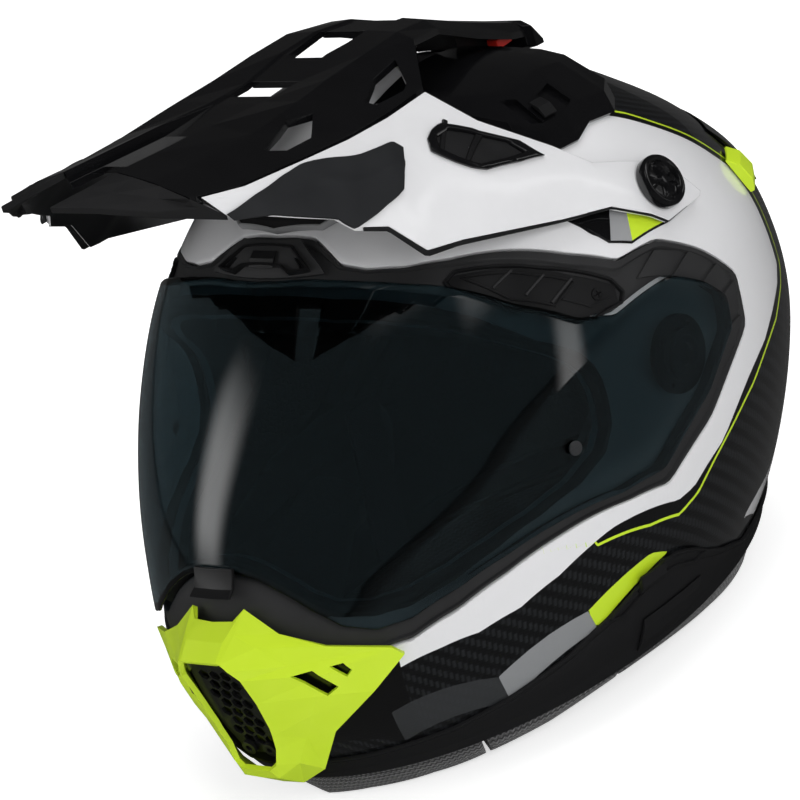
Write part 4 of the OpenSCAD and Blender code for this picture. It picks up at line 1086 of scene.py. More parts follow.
@dataclass
class Eyeport:
    """Moulded trim in the step, its rubber seal, and the visor that closes on it."""

    sink: float = 1.2
    bead: float = 1.5
    swell: float = 4.0
    swell_half: float = 5.0  # in spokes
    seat: float = -5.46
    air: float = 1.42
    thick: float = 1.5
    visor_rows: int = 36
    visor_spokes: int = 13  # to each side of the middle
    seal_reach: float = 7.0
    seal_lip: Pairs = (
        (0, -2.7), (0.06, -1.2), (0.15, -0.1), (0.25, 0.2), (0.4, 0.25), (0.55, 0.2), (0.7, -0.8), (1, -3.2))

    def trim(self) -> None:
        """Rows across the trim: flat, a swelling over the chin, and a raised bead at the edge.

        The swelling follows cosine squared round the eyeport, nought past five spokes.
        """
        spokes = np.abs(np.arange(PATHS.count) - PATHS.count / 2) / PATHS.per_spoke
        chin = np.cos(math.pi / 2 * np.minimum(spokes, self.swell_half) / self.swell_half) ** 2
        inner = PATHS.moved(PATHS.visor, PATHS.trim, 0.8)
        outer = PATHS.moved(PATHS.trim, PATHS.visor, 0.9)
        share = np.array([
            0, 0.01, 0.05, 0.2, 0.35, 0.5, 0.65, 0.78, 0.81, 0.835, 0.85, 0.87, 0.93, 0.985, 1.0])
        rise = np.interp(share, [0, 0.01, 0.05, 0.79, 0.845, 0.87, 0.985, 1],
                         [-0.6, -0.15, 0, 0, 1, 1, 0.9, 0.6])
        puff = np.interp(share, [0, 0.2, 0.5, 0.8], [0, 1, 0.8, 0])
        h = -self.sink + self.bead * rise[:, None] + self.swell * puff[:, None] * chin
        top = FORM.lifted(lerp(inner, outer, share[:, None, None]), h)
        low = np.array([PATHS.lifted(m, self.seat) for m in (inner, outer)])
        dress(Mesher.skin("eyeport_trim_form", sheet(top, low), True, sharp=45), "trim", "eyeport_trim")

    def seal(self) -> None:
        """Rubber seal: a rounded lip between the opening and the trim."""
        way = PATHS.visor - PATHS.opening
        most = 0.9 * np.linalg.norm(way, axis=1, keepdims=True)
        reach = np.minimum(self.seal_reach * MAP_MM, most) * unit(way)
        section = (*self.seal_lip, (1, self.seat), (0, self.seat))
        rows = [PATHS.lifted(PATHS.opening + f * reach, h) for f, h in section]
        dress(Mesher.skin("eyeport_gasket_form", np.array(rows), True), "rubber", "eyeport_gasket")

    def visor(self) -> None:
        """Curved sheet: columns join a point of the upper edge to its partner on the lower edge."""
        half, last = PATHS.count // 2, self.visor_spokes * PATHS.per_spoke
        k = np.arange(-last, last + 1)
        side = np.where(k < 0, -1, 1)[:, None] * np.array([1, 0]) + np.array([0, 1])
        upper, lower = PATHS.visor[np.abs(k)] * side, PATHS.visor[half - np.abs(k)] * side
        share = np.concatenate([[0, 0.004], np.linspace(0.03, 0.97, self.visor_rows), [0.996, 1]])
        m = lerp(upper, lower, share[:, None, None])
        soft = np.interp(share, [0, 0.004, 0.996, 1], [0.4, 0, 0, 0.4])[:, None] * np.ones(len(k))
        rows = sheet(FORM.lifted(m, self.air + self.thick - soft), FORM.lifted(m, self.air + soft))
        dress(Mesher.skin("visor_form", rows, sharp=60), "visor", "visor")

    def build(self) -> None:
        """Makes the trim, the seal and the visor with what is on it."""
        self.trim()
        self.seal()
        self.visor()
        for node, finish in (("visor_hubs", "satin"), ("visor_tab", "satin"), ("visor_pins", "steel"),
                             ("base_plate_left", "satin"), ("base_plate_right", "satin")):
            refined(node, finish)


def grid(corners: Array, rows: int, columns: int) -> Array:
    """A finer grid: points are added evenly between the rows and columns of a coarse one.

    Args:
        corners: the coarse grid as rows, columns and numbers.
        rows: rows of the fine grid.
        columns: its columns.

    Returns:
        The fine grid.
    """
    c = corners.astype(float)
    i, j = (np.linspace(0, n - 1, k) for n, k in zip(c.shape[:2], (rows, columns), strict=True))
    a, b = (np.minimum(v.astype(int), n - 2) for v, n in zip((i, j), c.shape[:2], strict=True))
    f, g = (i - a)[:, None, None], (j - b)[None, :, None]
    low, high = (lerp(c[k][:, b], c[k][:, b + 1], g) for k in (a, a + 1))
    return lerp(low, high, f)


def plate(name: str, corners: list | Array, high: float | Array, low: float, finish: str,
          side: Side = Side.LEFT, size: tuple[int, int] = (7, 25), node: str = "",
          bevel: float = 0.3) -> None:
    """A plate that lies on the shell.

    Args:
        name: the piece's name.
        corners: coarse grid of turns and heights.
        high: level of the top at each corner, or one number.
        low: level of the underside.
        finish: short name of the material.
        side: the side of the helmet.
        size: rows and columns of the fine grid.
        node: the solid that it replaces.
        bevel: radius of its edges.
    """
    m = FORM.charted(corners)
    top = np.broadcast_to(np.asarray(high, float), m.shape[:2])[..., None]
    fine = grid(np.concatenate([m, top], -1), *size)
    outer = FORM.lifted(fine[..., :2], fine[..., 2])
    inner = FORM.lifted(fine[..., :2], np.full(size, float(low)))
    made = Mesher.skin(name, side.put(sheet(outer, inner)), sharp=40)
    rounded(made, bevel)
    dress(made, finish, node)


def bead(name: str, line: Pairs, size: tuple[float, float, float], finish: str, side: Side = Side.LEFT,
         closed: bool = False) -> None:
    """A rounded bead along a line on the shell: six corners of its section move along the line.

    Args:
        name: the piece's name.
        line: turns and heights of its corners.
        size: its width, the level of its foot and the level of its top.
        finish: short name of the material.
        side: the side of the helmet.
        closed: whether the line comes back to its start.
    """
    width, low, high = size
    m = dense(FORM.charted(line), 6, closed)
    p, out = FORM.on_map(m), FORM.outward(m)
    ahead = np.roll(p, -1, 0) - np.roll(p, 1, 0)
    if not closed:
        ahead[0], ahead[-1] = p[1] - p[0], p[-1] - p[-2]
    across = unit(np.cross(out, unit(ahead)))
    top = high - low
    section = ((-1, 0), (-1, 0.6), (-0.55, 1), (0.55, 1), (1, 0.6), (1, 0))
    rows = np.array([p + x * width / 2 * across + (low + y * top) * out for x, y in section])
    dress(Mesher.skin(name, side.put(rows), closed, sharp=50), finish)


# Corners of the arm: its edge against the peak, its lower edge, and how far it swells between
ARM_TOP = np.array([
    (54.5, -149, 290), (59.5, -129, 285.5), (63.5, -94, 281.5), (64.5, -70, 278.5), (64.5, -45, 276.5),
    (61.5, -16, 275), (78, -8, 258), (94, 14, 236), (105, 23, 224), (110, 46, 214), (114, 61, 203),
    (117, 70, 188.5)])
ARM_LOW = np.array([
    (60.5, -143, 278), (70, -130, 274), (84, -109, 263), (90, -105, 256), (93, -91, 249.5), (99, -80, 233.5),
    (103, -65, 230.5), (109, -12, 214), (117, 14, 208), (121, 32, 196), (122, 40, 189), (117.5, 68, 187)])
ARM_SWELL = np.array([0, 1, 2, 3, 4, 4, 4, 3, 2, 1.5, 1, 0.0])


@dataclass
class PeakArms:
    """The two side arms of the peak, with a dark panel, a vent and a knob on each.

    A place on an arm is a, which counts the corners from its front, and f, its share of the way down.
    """

    panel: tuple[tuple[float, float, float], ...] = (  # a, and f of its upper and lower edge
        (0.02, 0.84, 1.12), (0.3, 0.72, 1.12), (0.65, 0.56, 1.12), (1.12, 0.35, 1.1), (1.48, 0.17, 1.09),
        (1.83, 0.08, 1.08), (2.3, 0.15, 1.08), (2.78, 0.23, 1.06), (3.18, 0.27, 0.98), (3.6, 0.28, 0.9),
        (4.0, 0.28, 0.81), (4.24, 0.36, 0.7))
    panel_levels: tuple[float, float] = (0.4, 1.5)
    ridge: float = 0.7
    frame: Pairs = (
        (5.25, 0.2), (4.9, 0.33), (5.0, 0.42), (5.6, 0.45), (6.15, 0.46), (6.55, 0.34), (6.85, 0.21),
        (6.55, 0.1), (5.9, 0.12))
    frame_section: Pairs = ((1.0, 0.3), (1.0, 1.2), (0.96, 1.7), (0.8, 1.7), (0.74, 1.3), (0.72, 0.3))
    floor_section: Pairs = (
        (0.73, 0.45), (0.4, 0.45), (0.02, 0.45), (0.02, 0.32), (0.4, 0.32), (0.73, 0.32))
    fin_section: Pairs = ((-0.05, 0.45), (-0.03, 1.3), (0.05, 1.3), (0.07, 0.45))
    # dark strip under the arm's lower edge, a painted shadow: share down the arm and level of each corner
    foot_section: Pairs = (
        (0.97, -0.3), (1.02, -0.35), (1.035, -0.6), (1.035, -1.0), (1.01, -1.25), (0.97, -1.25))
    knob_at: tuple[float, float] = (9.35, 0.42)
    knob_lift: float = 0.6
    knob_profile: Pairs = (  # radius and height
        (0, 3.4), (1, 3.4), (2, 3.3), (3, 3.2), (4, 3.1), (5, 3.0), (6, 2.9), (7, 2.8), (8, 2.8), (8.6, 3.2),
        (9, 4.4), (9.6, 5.0), (10.4, 5.1), (11.2, 4.9), (11.7, 4.2), (12, 3.0), (12, 0), (4, 0), (4, -5.6),
        (3, -5.6), (1.5, -5.6), (0, -5.6))
    grip_r: float = 8.3

    @staticmethod
    def along(table: Array, a: Array) -> Array:
        """A row of a table at place a, straight between rows.

        Args:
            table: one row for each corner.
            a: places along the arm.

        Returns:
            A row for each place.
        """
        i = np.minimum(np.floor(a).astype(int), len(table) - 2)
        f = a - i
        return lerp(table[i], table[i + 1], f[..., None] if table.ndim > 1 else f)

    def flat(self, a: Array, f: Array) -> Array:
        """Point at place a along the arm and share f down it."""
        return lerp(self.along(ARM_TOP, a), self.along(ARM_LOW, a), f[..., None])

    def facing(self, a: Array, f: Array) -> Array:
        """The way that the arm faces: the cross product of its two directions.

        Args:
            a: places along the arm.
            f: shares of the way down it.

        Returns:
            Directions of length one.
        """
        last = len(ARM_TOP) - 1.0
        ahead = self.flat(np.minimum(a + 0.1, last), f) - self.flat(np.maximum(a - 0.1, 0), f)
        return unit(np.cross(ahead, self.flat(a, 0 * f) - self.flat(a, 0 * f + 1)))

    def at(self, a: Array, f: Array, h: float | Array) -> Array:
        """Point of the outer face, h millimetres above it; the face swells by a sine down it.

        Args:
            a: places along the arm.
            f: shares of the way down it.
            h: levels above the outer face.

        Returns:
            Points.
        """
        a, f = np.asarray(a, float), np.asarray(f, float)
        swell = self.along(ARM_SWELL, a) * np.sin(math.pi * f) + h
        return self.flat(a, f) + swell[..., None] * self.facing(a, f)

    def cover(self, side: Side) -> None:
        """The dark panel, with a ridge that follows a bell curve across it.

        Args:
            side: the side of the helmet.
        """
        p = np.array(self.panel)
        a = np.linspace(p[0, 0], p[-1, 0], 60)
        share = np.linspace(0, 1, 14)[:, None]
        f = lerp(np.interp(a, p[:, 0], p[:, 1]), np.interp(a, p[:, 0], p[:, 2]), share)
        ridge = self.ridge * np.exp(-((share - 0.42) / 0.1) ** 2) * np.clip((a - 0.9) / 0.6, 0, 1)
        a = np.broadcast_to(a, f.shape)
        low, high = self.panel_levels
        rows = side.put(sheet(self.at(a, f, high + ridge), self.at(a, f, low)))
        made = Mesher.skin(f"peak_panel_{side.tag}_form", rows, sharp=40)
        rounded(made, 0.35)
        dress(made, "panel", f"peak_panel_{side.tag}")

    def vent(self, side: Side) -> None:
        """The vent: a raised frame round a dark recess with two fins in it.

        Args:
            side: the side of the helmet.
        """
        node = f"arm_vent_{side.tag}"
        edge = dense(np.array(self.frame), 6, True)
        middle = edge.mean(axis=0)

        def ring(section: Pairs) -> Array:
            """Rows round the vent: its outline drawn in to a share k, at a level h."""
            return side.put(np.array([self.at(*(middle + k * (edge - middle)).T, h) for k, h in section]))

        dress(Mesher.skin(f"{node}_form", ring(self.frame_section), True, sharp=50), "gloss", node)
        floor = Mesher.skin(f"arm_vent_floor_{side.tag}", ring(self.floor_section), True)
        dress(floor, "lip")
        for n, ends in enumerate(((5.35, 5.25), (6.0, 5.85))):
            a, f = np.linspace(*ends, 6), np.linspace(0.16, 0.42, 6)
            rows = side.put(np.array([self.at(a + d, f, h) for d, h in self.fin_section]))
            dress(Mesher.skin(f"arm_vent_fin_{n}_{side.tag}", rows), "satin")

    def knob(self, side: Side) -> None:
        """The quarter-turn knob: a turned profile whose face carries a four-lobed grip.

        The grip's height follows the cosine of four times the angle, and its middle is round.

        Args:
            side: the side of the helmet.
        """
        node = f"peak_knob_{side.tag}"
        a, f = (np.array(v) for v in self.knob_at)
        r, h = np.array(self.knob_profile).T
        turn = np.linspace(0, 2 * math.pi, 96, endpoint=False)
        ribs = np.clip(np.cos(4 * (turn - 0.35)) * 1.6, 0, 1)
        lobe = np.interp(r, [0, 2, 7, self.grip_r], [1.9, 1.9, 1.5, 0.2])
        grip = np.where((r < self.grip_r) & (h > 0), lobe, 0)
        rise = h[:, None] + grip[:, None] * np.maximum(ribs, (r[:, None] < 2.5) * 1.0)
        rows = turned(self.at(a, f, self.knob_lift), self.facing(a, f), r, rise)
        made = Mesher.skin(f"{node}_form", side.put(rows), True, sharp=40)
        stored(welded(made.data, 1e-6), made.data)
        dress(made, "gloss", node)

    def foot(self, side: Side) -> None:
        """A dark strip under the arm's lower edge, a painted shadow: the thin dark line between the arm and
        the shell.

        Args:
            side: the side of the helmet.
        """
        a = np.linspace(3.2, 10.6, 60)
        way = self.facing(a, 0 * a + 0.98)
        rows = np.array([self.flat(a, 0 * a + f) + h * way for f, h in self.foot_section])
        # A dark piece where there is only the shadow in the gap under the arm
        dress(Mesher.skin(f"arm_foot_{side.tag}", side.put(rows)), "satin")

    def build(self) -> None:
        """Makes both arms and what is on them."""
        for side in Side:
            # the dark strip under the arm's lower edge is a painted shadow
            self.foot(side)
            refined(f"peak_arm_{side.tag}", "arm", 0.6, 30, under="satin")
            self.cover(side)
            self.vent(side)
            self.knob(side)


@dataclass
class TrimDetails:
    """What lies on the trim and the shell beside it: fins, vents with slats, inlays, edge panels."""

    seat: float = -0.9
    vent_plate: tuple[Pairs, Pairs] = (
        ((47, 207.5), (53, 206), (60, 203), (66, 198), (72, 190), (79.5, 178)),
        ((47.5, 204.5), (53, 196.8), (60, 187.2), (66, 178.5), (71, 172.4), (79, 171)))
    vent_edge: Pairs = (
        (46.5, 206), (49, 208.4), (60.5, 203.4), (66, 198.5), (79, 181), (80.5, 174), (79.5, 170.6),
        (73.5, 170.6), (70, 173), (58.5, 188.5), (47.5, 203.5))
    vent_inner: Pairs = (
        (50, 205.6), (59.8, 201.2), (64.6, 196.8), (71.8, 187.6), (67, 182.6), (58.8, 192.4))
    slats: tuple[Pairs, ...] = (
        ((56, 198.5), (60.5, 201.5)), ((62, 191.4), (66.5, 195.5)), ((66.5, 184.2), (71.5, 189)))
    groove: Pairs = ((68.6, 183.6), (73.4, 175.6), (77.6, 174.6))
    screw_at: tuple[float, float] = (75.4, 178.6)
    screw_r: float = 2.6
    fins: tuple[Pairs, ...] = (
        ((90, 181), (84, 175.5)), ((97.5, 171.5), (91.5, 167.6)), ((103.5, 158.5), (97.6, 156.3)),
        ((106.6, 146), (100.6, 144.3)), ((105.6, 131), (99.6, 130.4)), ((99.5, 115), (94.8, 117.5)))
    inlay_rows: tuple[Pairs, Pairs] = (
        ((75.5, 209.6), (82, 207.4), (86, 204), (89.5, 200.6), (95.6, 190.4), (96.5, 187)),
        ((75.8, 208.8), (79.2, 199.6), (82.4, 194), (86.8, 189), (93, 187.4), (96.3, 186.6)))
    inlay_edge: Pairs = (
        (75, 210), (82.5, 207.5), (89.5, 201), (95.5, 191), (96.8, 186.3), (86.5, 188.6), (82, 194))
    panel_edge: Pairs = (
        (71, 45.6), (80.4, 55.6), (84.4, 56), (92.5, 46.2), (90, 44.6), (84.6, 50.4), (80.6, 50.8),
        (73.6, 43.6))
    panel_slits: tuple[Pairs, ...] = (((79.4, 48.4), (82.6, 50), (86.4, 48.4)), ((81, 46.2), (84, 47.6)))
    hood_rows: tuple[tuple[float, float, float], ...] = (  # half width, height, level
        (18.5, 218.6, 0.5), (17.5, 220.5, 1.4), (13, 225, 2.8), (10, 228, 3.2))
    hood_edge: Pairs = (
        (-14.5, 219.8), (-8, 226), (8, 226), (14.5, 219.8), (9, 219.4), (6, 221.5), (-6, 221.5), (-9, 219.4))
    scoop_edge: Pairs = ((-19.5, 233), (-15, 231), (0, 230.6), (15, 231), (19.5, 233), (19.5, 238.5))
    duct_edge: Pairs = (
        (-14.5, 72), (-9, 79), (9, 79), (14.5, 72), (13.5, 48), (8, 33), (0, 31), (-8, 33), (-13.5, 48))
    duct_section: Pairs = ((1.0, 0.3), (1.0, 5.5), (0.93, 5.5), (0.9, 0.3))
    duct_middle: tuple[float, float] = (0, 56)

    def vent(self, side: Side) -> None:
        """A plate with a raised rim, three slats, and a screw in a groove at its rear.

        Args:
            side: the side of the helmet.
        """
        node, low = f"side_vent_{side.tag}", self.seat
        plate(f"{node}_form", self.vent_plate, low + 0.7, low, "satin", side, node=node)
        bead(f"side_vent_rim_{side.tag}", self.vent_edge, (1.6, low, low + 1.7), "satin", side, True)
        inner = (0.9, low + 0.6, low + 1.4)
        bead(f"side_vent_inner_{side.tag}", self.vent_inner, inner, "satin", side, True)
        for n, line in enumerate(self.slats):
            bead(f"side_vent_slat_{n}_{side.tag}", line, (1.3, low + 0.6, low + 1.7), "trim", side)
        bead(f"side_vent_groove_{side.tag}", self.groove, (0.8, low + 0.6, low + 1.3), "lip", side)

    def screw(self, side: Side) -> None:
        """A pan-head screw with a cross recess: height falls by a circle's arc to its edge.

        Args:
            side: the side of the helmet.
        """
        m = FORM.charted(self.screw_at)
        turn = np.linspace(0, 2 * math.pi, 48, endpoint=False)
        share = np.array([0.001, 0.12, 0.24, 0.36, 0.5, 0.64, 0.78, 0.92, 1, 1])
        r = share * self.screw_r
        head = np.append(1.1 * np.sqrt(1 - 0.7 * share[:-1] ** 2), -0.6)
        arm = np.minimum(np.abs(np.sin(turn)), np.abs(np.cos(turn))) * r[:, None] / 0.32
        rise = head[:, None] - 0.7 * np.clip(1 - arm, 0, 1) * (share[:, None] < 0.6)
        rows = turned(FORM.lifted(m, self.seat + 0.7), FORM.outward(m), r, rise)
        made = Mesher.skin(f"side_vent_screw_{side.tag}", side.put(rows), True)
        dress(made, "satin")

    def fin_plates(self, side: Side) -> None:
        """Stepped plates down the rear of the trim: each is proud at its upper end and sinks away.

        Args:
            side: the side of the helmet.
        """
        low = self.seat
        levels = [[low + 1.0, low + 0.9], [low + 0.12, low + 0.12]]
        for n, (a, b) in enumerate(zip(self.fins[:-1], self.fins[1:], strict=True)):
            corners = [lerp(np.array(a), np.array(b), f) for f in (0.05, 0.96)]
            plate(f"trim_fin_{n}_{side.tag}", corners, levels, low - 0.5, "trim", side, (9, 6))

    def inlay(self, side: Side) -> None:
        """Reflective inlay: a black front, a grey middle and a lime rear in a thin frame.

        Args:
            side: the side of the helmet.
        """
        node = f"arm_inlay_{side.tag}"
        for n, (i, j, finish) in enumerate(((0, 3, "gloss"), (2, 4, "inlay"), (3, 6, "lime"))):
            name, stands = (f"arm_inlay_band_{n}_{side.tag}", "") if n else (f"{node}_form", node)
            plate(name, [row[i:j] for row in self.inlay_rows], 0.45, 0.1, finish, side, (5, 12), stands, 0.1)
        bead(f"arm_inlay_frame_{side.tag}", self.inlay_edge, (1.1, 0.1, 0.6), "gloss", side, True)

    def edge_panel(self, side: Side) -> None:
        """The raised three-cornered panel of the lower edge.

        Its two slits are on the right only: the sun visor's slider has their place on the left.

        Args:
            side: the side of the helmet.
        """
        bead(f"edge_panel_rim_{side.tag}", self.panel_edge, (1.4, 1.3, 2.7), "rubber", side, True)
        if side is Side.RIGHT:
            for n, line in enumerate(self.panel_slits):
                bead(f"edge_panel_slit_{n}_{side.tag}", line, (0.8, 1.3, 2.4), "satin", side)

    def brow(self) -> None:
        """Brow vent: a dark hood with a raised frame and two fins, and the pale rim of the scoop."""
        across = np.linspace(-1, 1, 9)
        hood = [[(half * f, z) for f in across] for half, z, _ in self.hood_rows]
        levels = np.array([[h] for *_, h in self.hood_rows]) * np.ones(9)
        plate("brow_vent_form", hood, levels, -0.6, "trim", size=(13, 41), node="brow_vent")
        bead("brow_vent_frame", self.hood_edge, (1.2, 1.0, 3.9), "satin", closed=True)
        for n, t in enumerate((-12.2, 12.2)):
            bead(f"brow_vent_fin_{n}", ((t, 220.6), (t * 0.82, 223)), (1.0, 1.2, 3.2), "satin")
        bead("brow_scoop_rim", self.scoop_edge, (1.3, 0.3, 3.6), "grey")

    def duct(self) -> None:
        """The dark wall of the chin inlet: a ring on the shell behind the guard's opening."""
        edge, middle = np.array(self.duct_edge, float), np.array(self.duct_middle, float)
        rows = []
        for k, h in self.duct_section:
            m = FORM.charted(dense(lerp(middle, edge, k), 8, True))
            rows.append(FORM.lifted(m, np.full(len(m), h)))
        dress(Mesher.skin("chin_duct", np.array(rows), True), "satin")

    def build(self) -> None:
        """Makes them on both sides, then what lies in the middle."""
        for side in Side:
            self.vent(side)
            self.screw(side)
            self.fin_plates(side)
            self.inlay(side)
            self.edge_panel(side)
        self.brow()
        self.duct()


@dataclass
class NeckRoll:
    """The knitted ring in four lengths that the helmet stands on."""

    width: float = 24.0
    arch: float = 8.0
    fill: float = 0.7
    out: Pairs = ((0, 9), (12, 4), (30, 0), (45, 2), (60, 6), (110, 7.5), (130, 10), (180, 10))
    lengths: tuple[tuple[str, float, float], ...] = (
        ("chin_curtain", -44, 44), ("neck_roll_left", 45.2, 78.6), ("neck_roll_right", -78.6, -45.2),
        ("neck_roll_rear", 79.8, 280.2))

    def section(self, t: Array, k: Array) -> tuple[Array, Array, Array]:
        """The ten corners of the section at each turn.

        Args:
            t: turns.
            k: how far the roll is drawn in at each turn, which rounds its ends.

        Returns:
            Heights to follow, distances out and levels, one row a corner and one column a turn.
        """
        half = np.where(t > 180, 360 - t, np.abs(t))
        f = self.arch * np.sin(np.radians(np.interp(half, [25, 80, 130], [0, 90, 180]))) ** 2
        d = np.interp(half, *np.array(self.out, float).T)
        roof = EDGE_Z - BEAD_DROP - SEAT_GAP
        deep, back = -WALL - SEAT_GAP - 2, -WALL - self.width
        one = np.ones_like(t)
        follow = np.array([16, 9, 3, 0, 0, 3, 10, 20, 22, 16])[:, None] * one
        reach = np.array([
            -1 - 2 * k, 0.3 * d - 0.5 - 2 * k, 0.75 * d - 2.5 - 2 * k, d - 6, d / 2 - 14, (back + 5) * one,
            back + 2 * k, back + 3 + 2 * k, (back + 13) * one, deep * one])
        level = np.array([
            roof * one, lerp(f, roof, 0.55), f + 3 + k, f, f, f + 3 + k, 9 + f / 2, 18 * one, 22 - 3 * k,
            roof * one])
        return follow, reach, level

    def build(self) -> None:
        """Each length: a closed curve through the corners of its section, carried round the head."""
        for name, start, stop in self.lengths:
            t = np.linspace(start, stop, int(abs(stop - start) * 1.6) + 1)
            near = np.minimum(t - start, stop - t)
            follow, reach, level = self.section(t, 0.5 * np.clip(1 - near / 1.2, 0, 1) ** 2)
            p = FORM.beside(np.broadcast_to(t, follow.shape), follow, reach, level)
            place = np.arange(len(p) * 5) / 5
            i = np.floor(place).astype(int)
            rows = cubic(*(p[(i + j) % len(p)] for j in (-1, 0, 1, 2)), (place - i)[:, None, None])
            rows[..., 2] = np.maximum(rows[..., 2], level.min(axis=0))
            steps = np.linalg.norm(np.diff(rows[:, len(t) // 2], axis=0), axis=1)
            run = np.concatenate([[0], np.cumsum(steps)])
            uv = np.stack(np.broadcast_arrays(t[None, :] * 2.0, run[:, None]), -1)
            made = Mesher.skin(f"{name}_form", rows, uv=uv, sharp=70)
            dress(made, "knit", name)


@dataclass
class Cushion:
    """A stuffed pad: its solid is drawn in a little, remeshed, and blown up by cloth simulation."""

    node: str
    fill: float
    voxel: float = 5.0
    draw_in: float = 1.2
    cap: float = 5.0
    pressure: float = 4.0
    frames: int = 20

    def build(self) -> None:
        """Makes the pad from a copy of its solid; no point moves further than the cap."""
        mesh = bpy.data.meshes.new(f"{self.node}_form")
        made = linked(mesh.name, stored(welded(frame["nodes"][self.node].data), mesh))
        self.apply(made, self.modifier(made, "REMESH", mode="VOXEL", voxel_size=self.voxel * MM))
        normals = np.empty(len(made.data.vertices) * 3)
        made.data.vertices.foreach_get("normal", normals)
        start = self.points(made) - normals.reshape(-1, 3) * self.draw_in * MM
        made.data.vertices.foreach_set("co", start.ravel())
        self.swell(made, start)
        self.apply(made, self.modifier(made, "CORRECTIVE_SMOOTH", iterations=4, use_only_smooth=True))
        self.modifier(made, "SUBSURF", levels=1, render_levels=1)
        made.data.shade_smooth()
        dress(made, "plush", self.node)

    @staticmethod
    def modifier(piece: Piece, kind: str, **settings: object) -> bpy.types.Modifier:
        """Adds a modifier with its settings.

        Args:
            piece: the piece.
            kind: the modifier's type.
            settings: its properties.

        Returns:
            The modifier.
        """
        added = piece.modifiers.new(kind.title(), kind)
        for key, value in settings.items():
            setattr(added, key, value)
        return added

    @staticmethod
    def points(piece: Piece) -> Array:
        """The vertices of a piece, one row each.

        Args:
            piece: the piece.

        Returns:
            Places in metres.
        """
        out = np.empty(len(piece.data.vertices) * 3)
        piece.data.vertices.foreach_get("co", out)
        return out.reshape(-1, 3)

    @staticmethod
    def apply(piece: Piece, modifier: bpy.types.Modifier) -> None:
        """Puts what the modifier makes into the mesh and removes it.

        Args:
            piece: the piece.
            modifier: one of its modifiers.
        """
        graph = bpy.context.evaluated_depsgraph_get()
        mesh = bpy.data.meshes.new_from_object(piece.evaluated_get(graph))
        piece.modifiers.remove(modifier)
        piece.data = mesh

    def swell(self, made: Piece, start: Array) -> None:
        """Runs the cloth with inside pressure and no gravity, then caps each point's way.

        Args:
            made: the pad.
            start: its vertices before the cloth, in metres.
        """
        cloth = made.modifiers.new("Cloth", "CLOTH")
        held = cloth.settings
        held.use_pressure, held.uniform_pressure_force = True, self.pressure
        held.effector_weights.gravity = 0
        held.tension_stiffness = held.compression_stiffness = 30
        held.bending_stiffness = 2
        cloth.point_cache.frame_start, cloth.point_cache.frame_end = 1, self.frames
        scene = bpy.context.scene
        for number in range(1, self.frames + 1):
            scene.frame_set(number)
        self.apply(made, cloth)
        scene.frame_set(1)
        moved = self.points(made) - start
        length = np.linalg.norm(moved, axis=1, keepdims=True)
        kept = start + moved * np.minimum(1, self.cap * MM / np.maximum(length, 1e-9))
        made.data.vertices.foreach_set("co", kept.ravel())
        made.data.update()


@dataclass
class Lining:
    """Foam liner, comfort pads, straps and buckle."""

    pads: tuple[tuple[str, float], ...] = (  # each with how full it is
        ("crown_pad", 0.6), ("cheek_pad_left", 0.8), ("cheek_pad_right", 0.8))

    def build(self) -> None:
        """Makes the liner and straps as they are and the pads as blown-up cushions."""
        refined("eps_liner", "foam", 0.6, 40)
        for node, fill in self.pads:
            Cushion(node, fill).build()
        refined("strap_left", "strap")
        refined("strap_right", "strap")
        refined("buckle_body", "satin", 0.6)
        refined("buckle_lever", "red")


@dataclass
class Fittings:
    """Everything else that is moulded: peak, vents, guard and catches.

    A row is the solid, its finish, the radius of its edges, the least angle of an edge that is
    rounded, and how many times it is subdivided.
    """

    rows: tuple[tuple[str, str, float, float, int], ...] = (
        ("chin_guard", "lime", 1.4, 16, 0), ("chin_mesh", "satin", 0.15, 30, 0),
        ("chin_bolts", "satin", 0.2, 30, 0), ("chin_vent_slider", "satin", 0.4, 30, 0),
        ("brow_vent_slider", "satin", 0.3, 30, 0), ("brow_scoop", "lip", 0.4, 20, 0),
        ("peak", "gloss", 0.7, 9, 0), ("peak_lips", "lip", 0.5, 12, 0),
        ("peak_bosses", "satin", 0.3, 30, 0), ("peak_tail_cap", "gloss", 0.5, 20, 0),
        ("peak_tail_mount", "satin", 0.4, 30, 0), ("peak_release", "red", 0.6, 30, 0),
        ("crown_vent_left", "gloss", 0.5, 14, 0), ("crown_vent_right", "gloss", 0.5, 14, 0),
        ("crown_slider_left", "satin", 0.3, 30, 0), ("crown_slider_right", "satin", 0.3, 30, 0),
        ("rear_spoiler", "gloss", 0.5, 20, 2), ("rear_slider_left", "lime", 0.4, 20, 0),
        ("rear_slider_right", "lime", 0.4, 20, 0), ("sun_visor", "sun", 0.2, 50, 2),
        ("sun_visor_pins", "steel", 0.3, 30, 0), ("sun_visor_slider", "rubber", 0.4, 20, 0),
        ("roll_tabs", "rubber", 0.5, 20, 0))

    def build(self) -> None:
        """Makes each from its solid."""
        for row in self.rows:
            refined(*row)


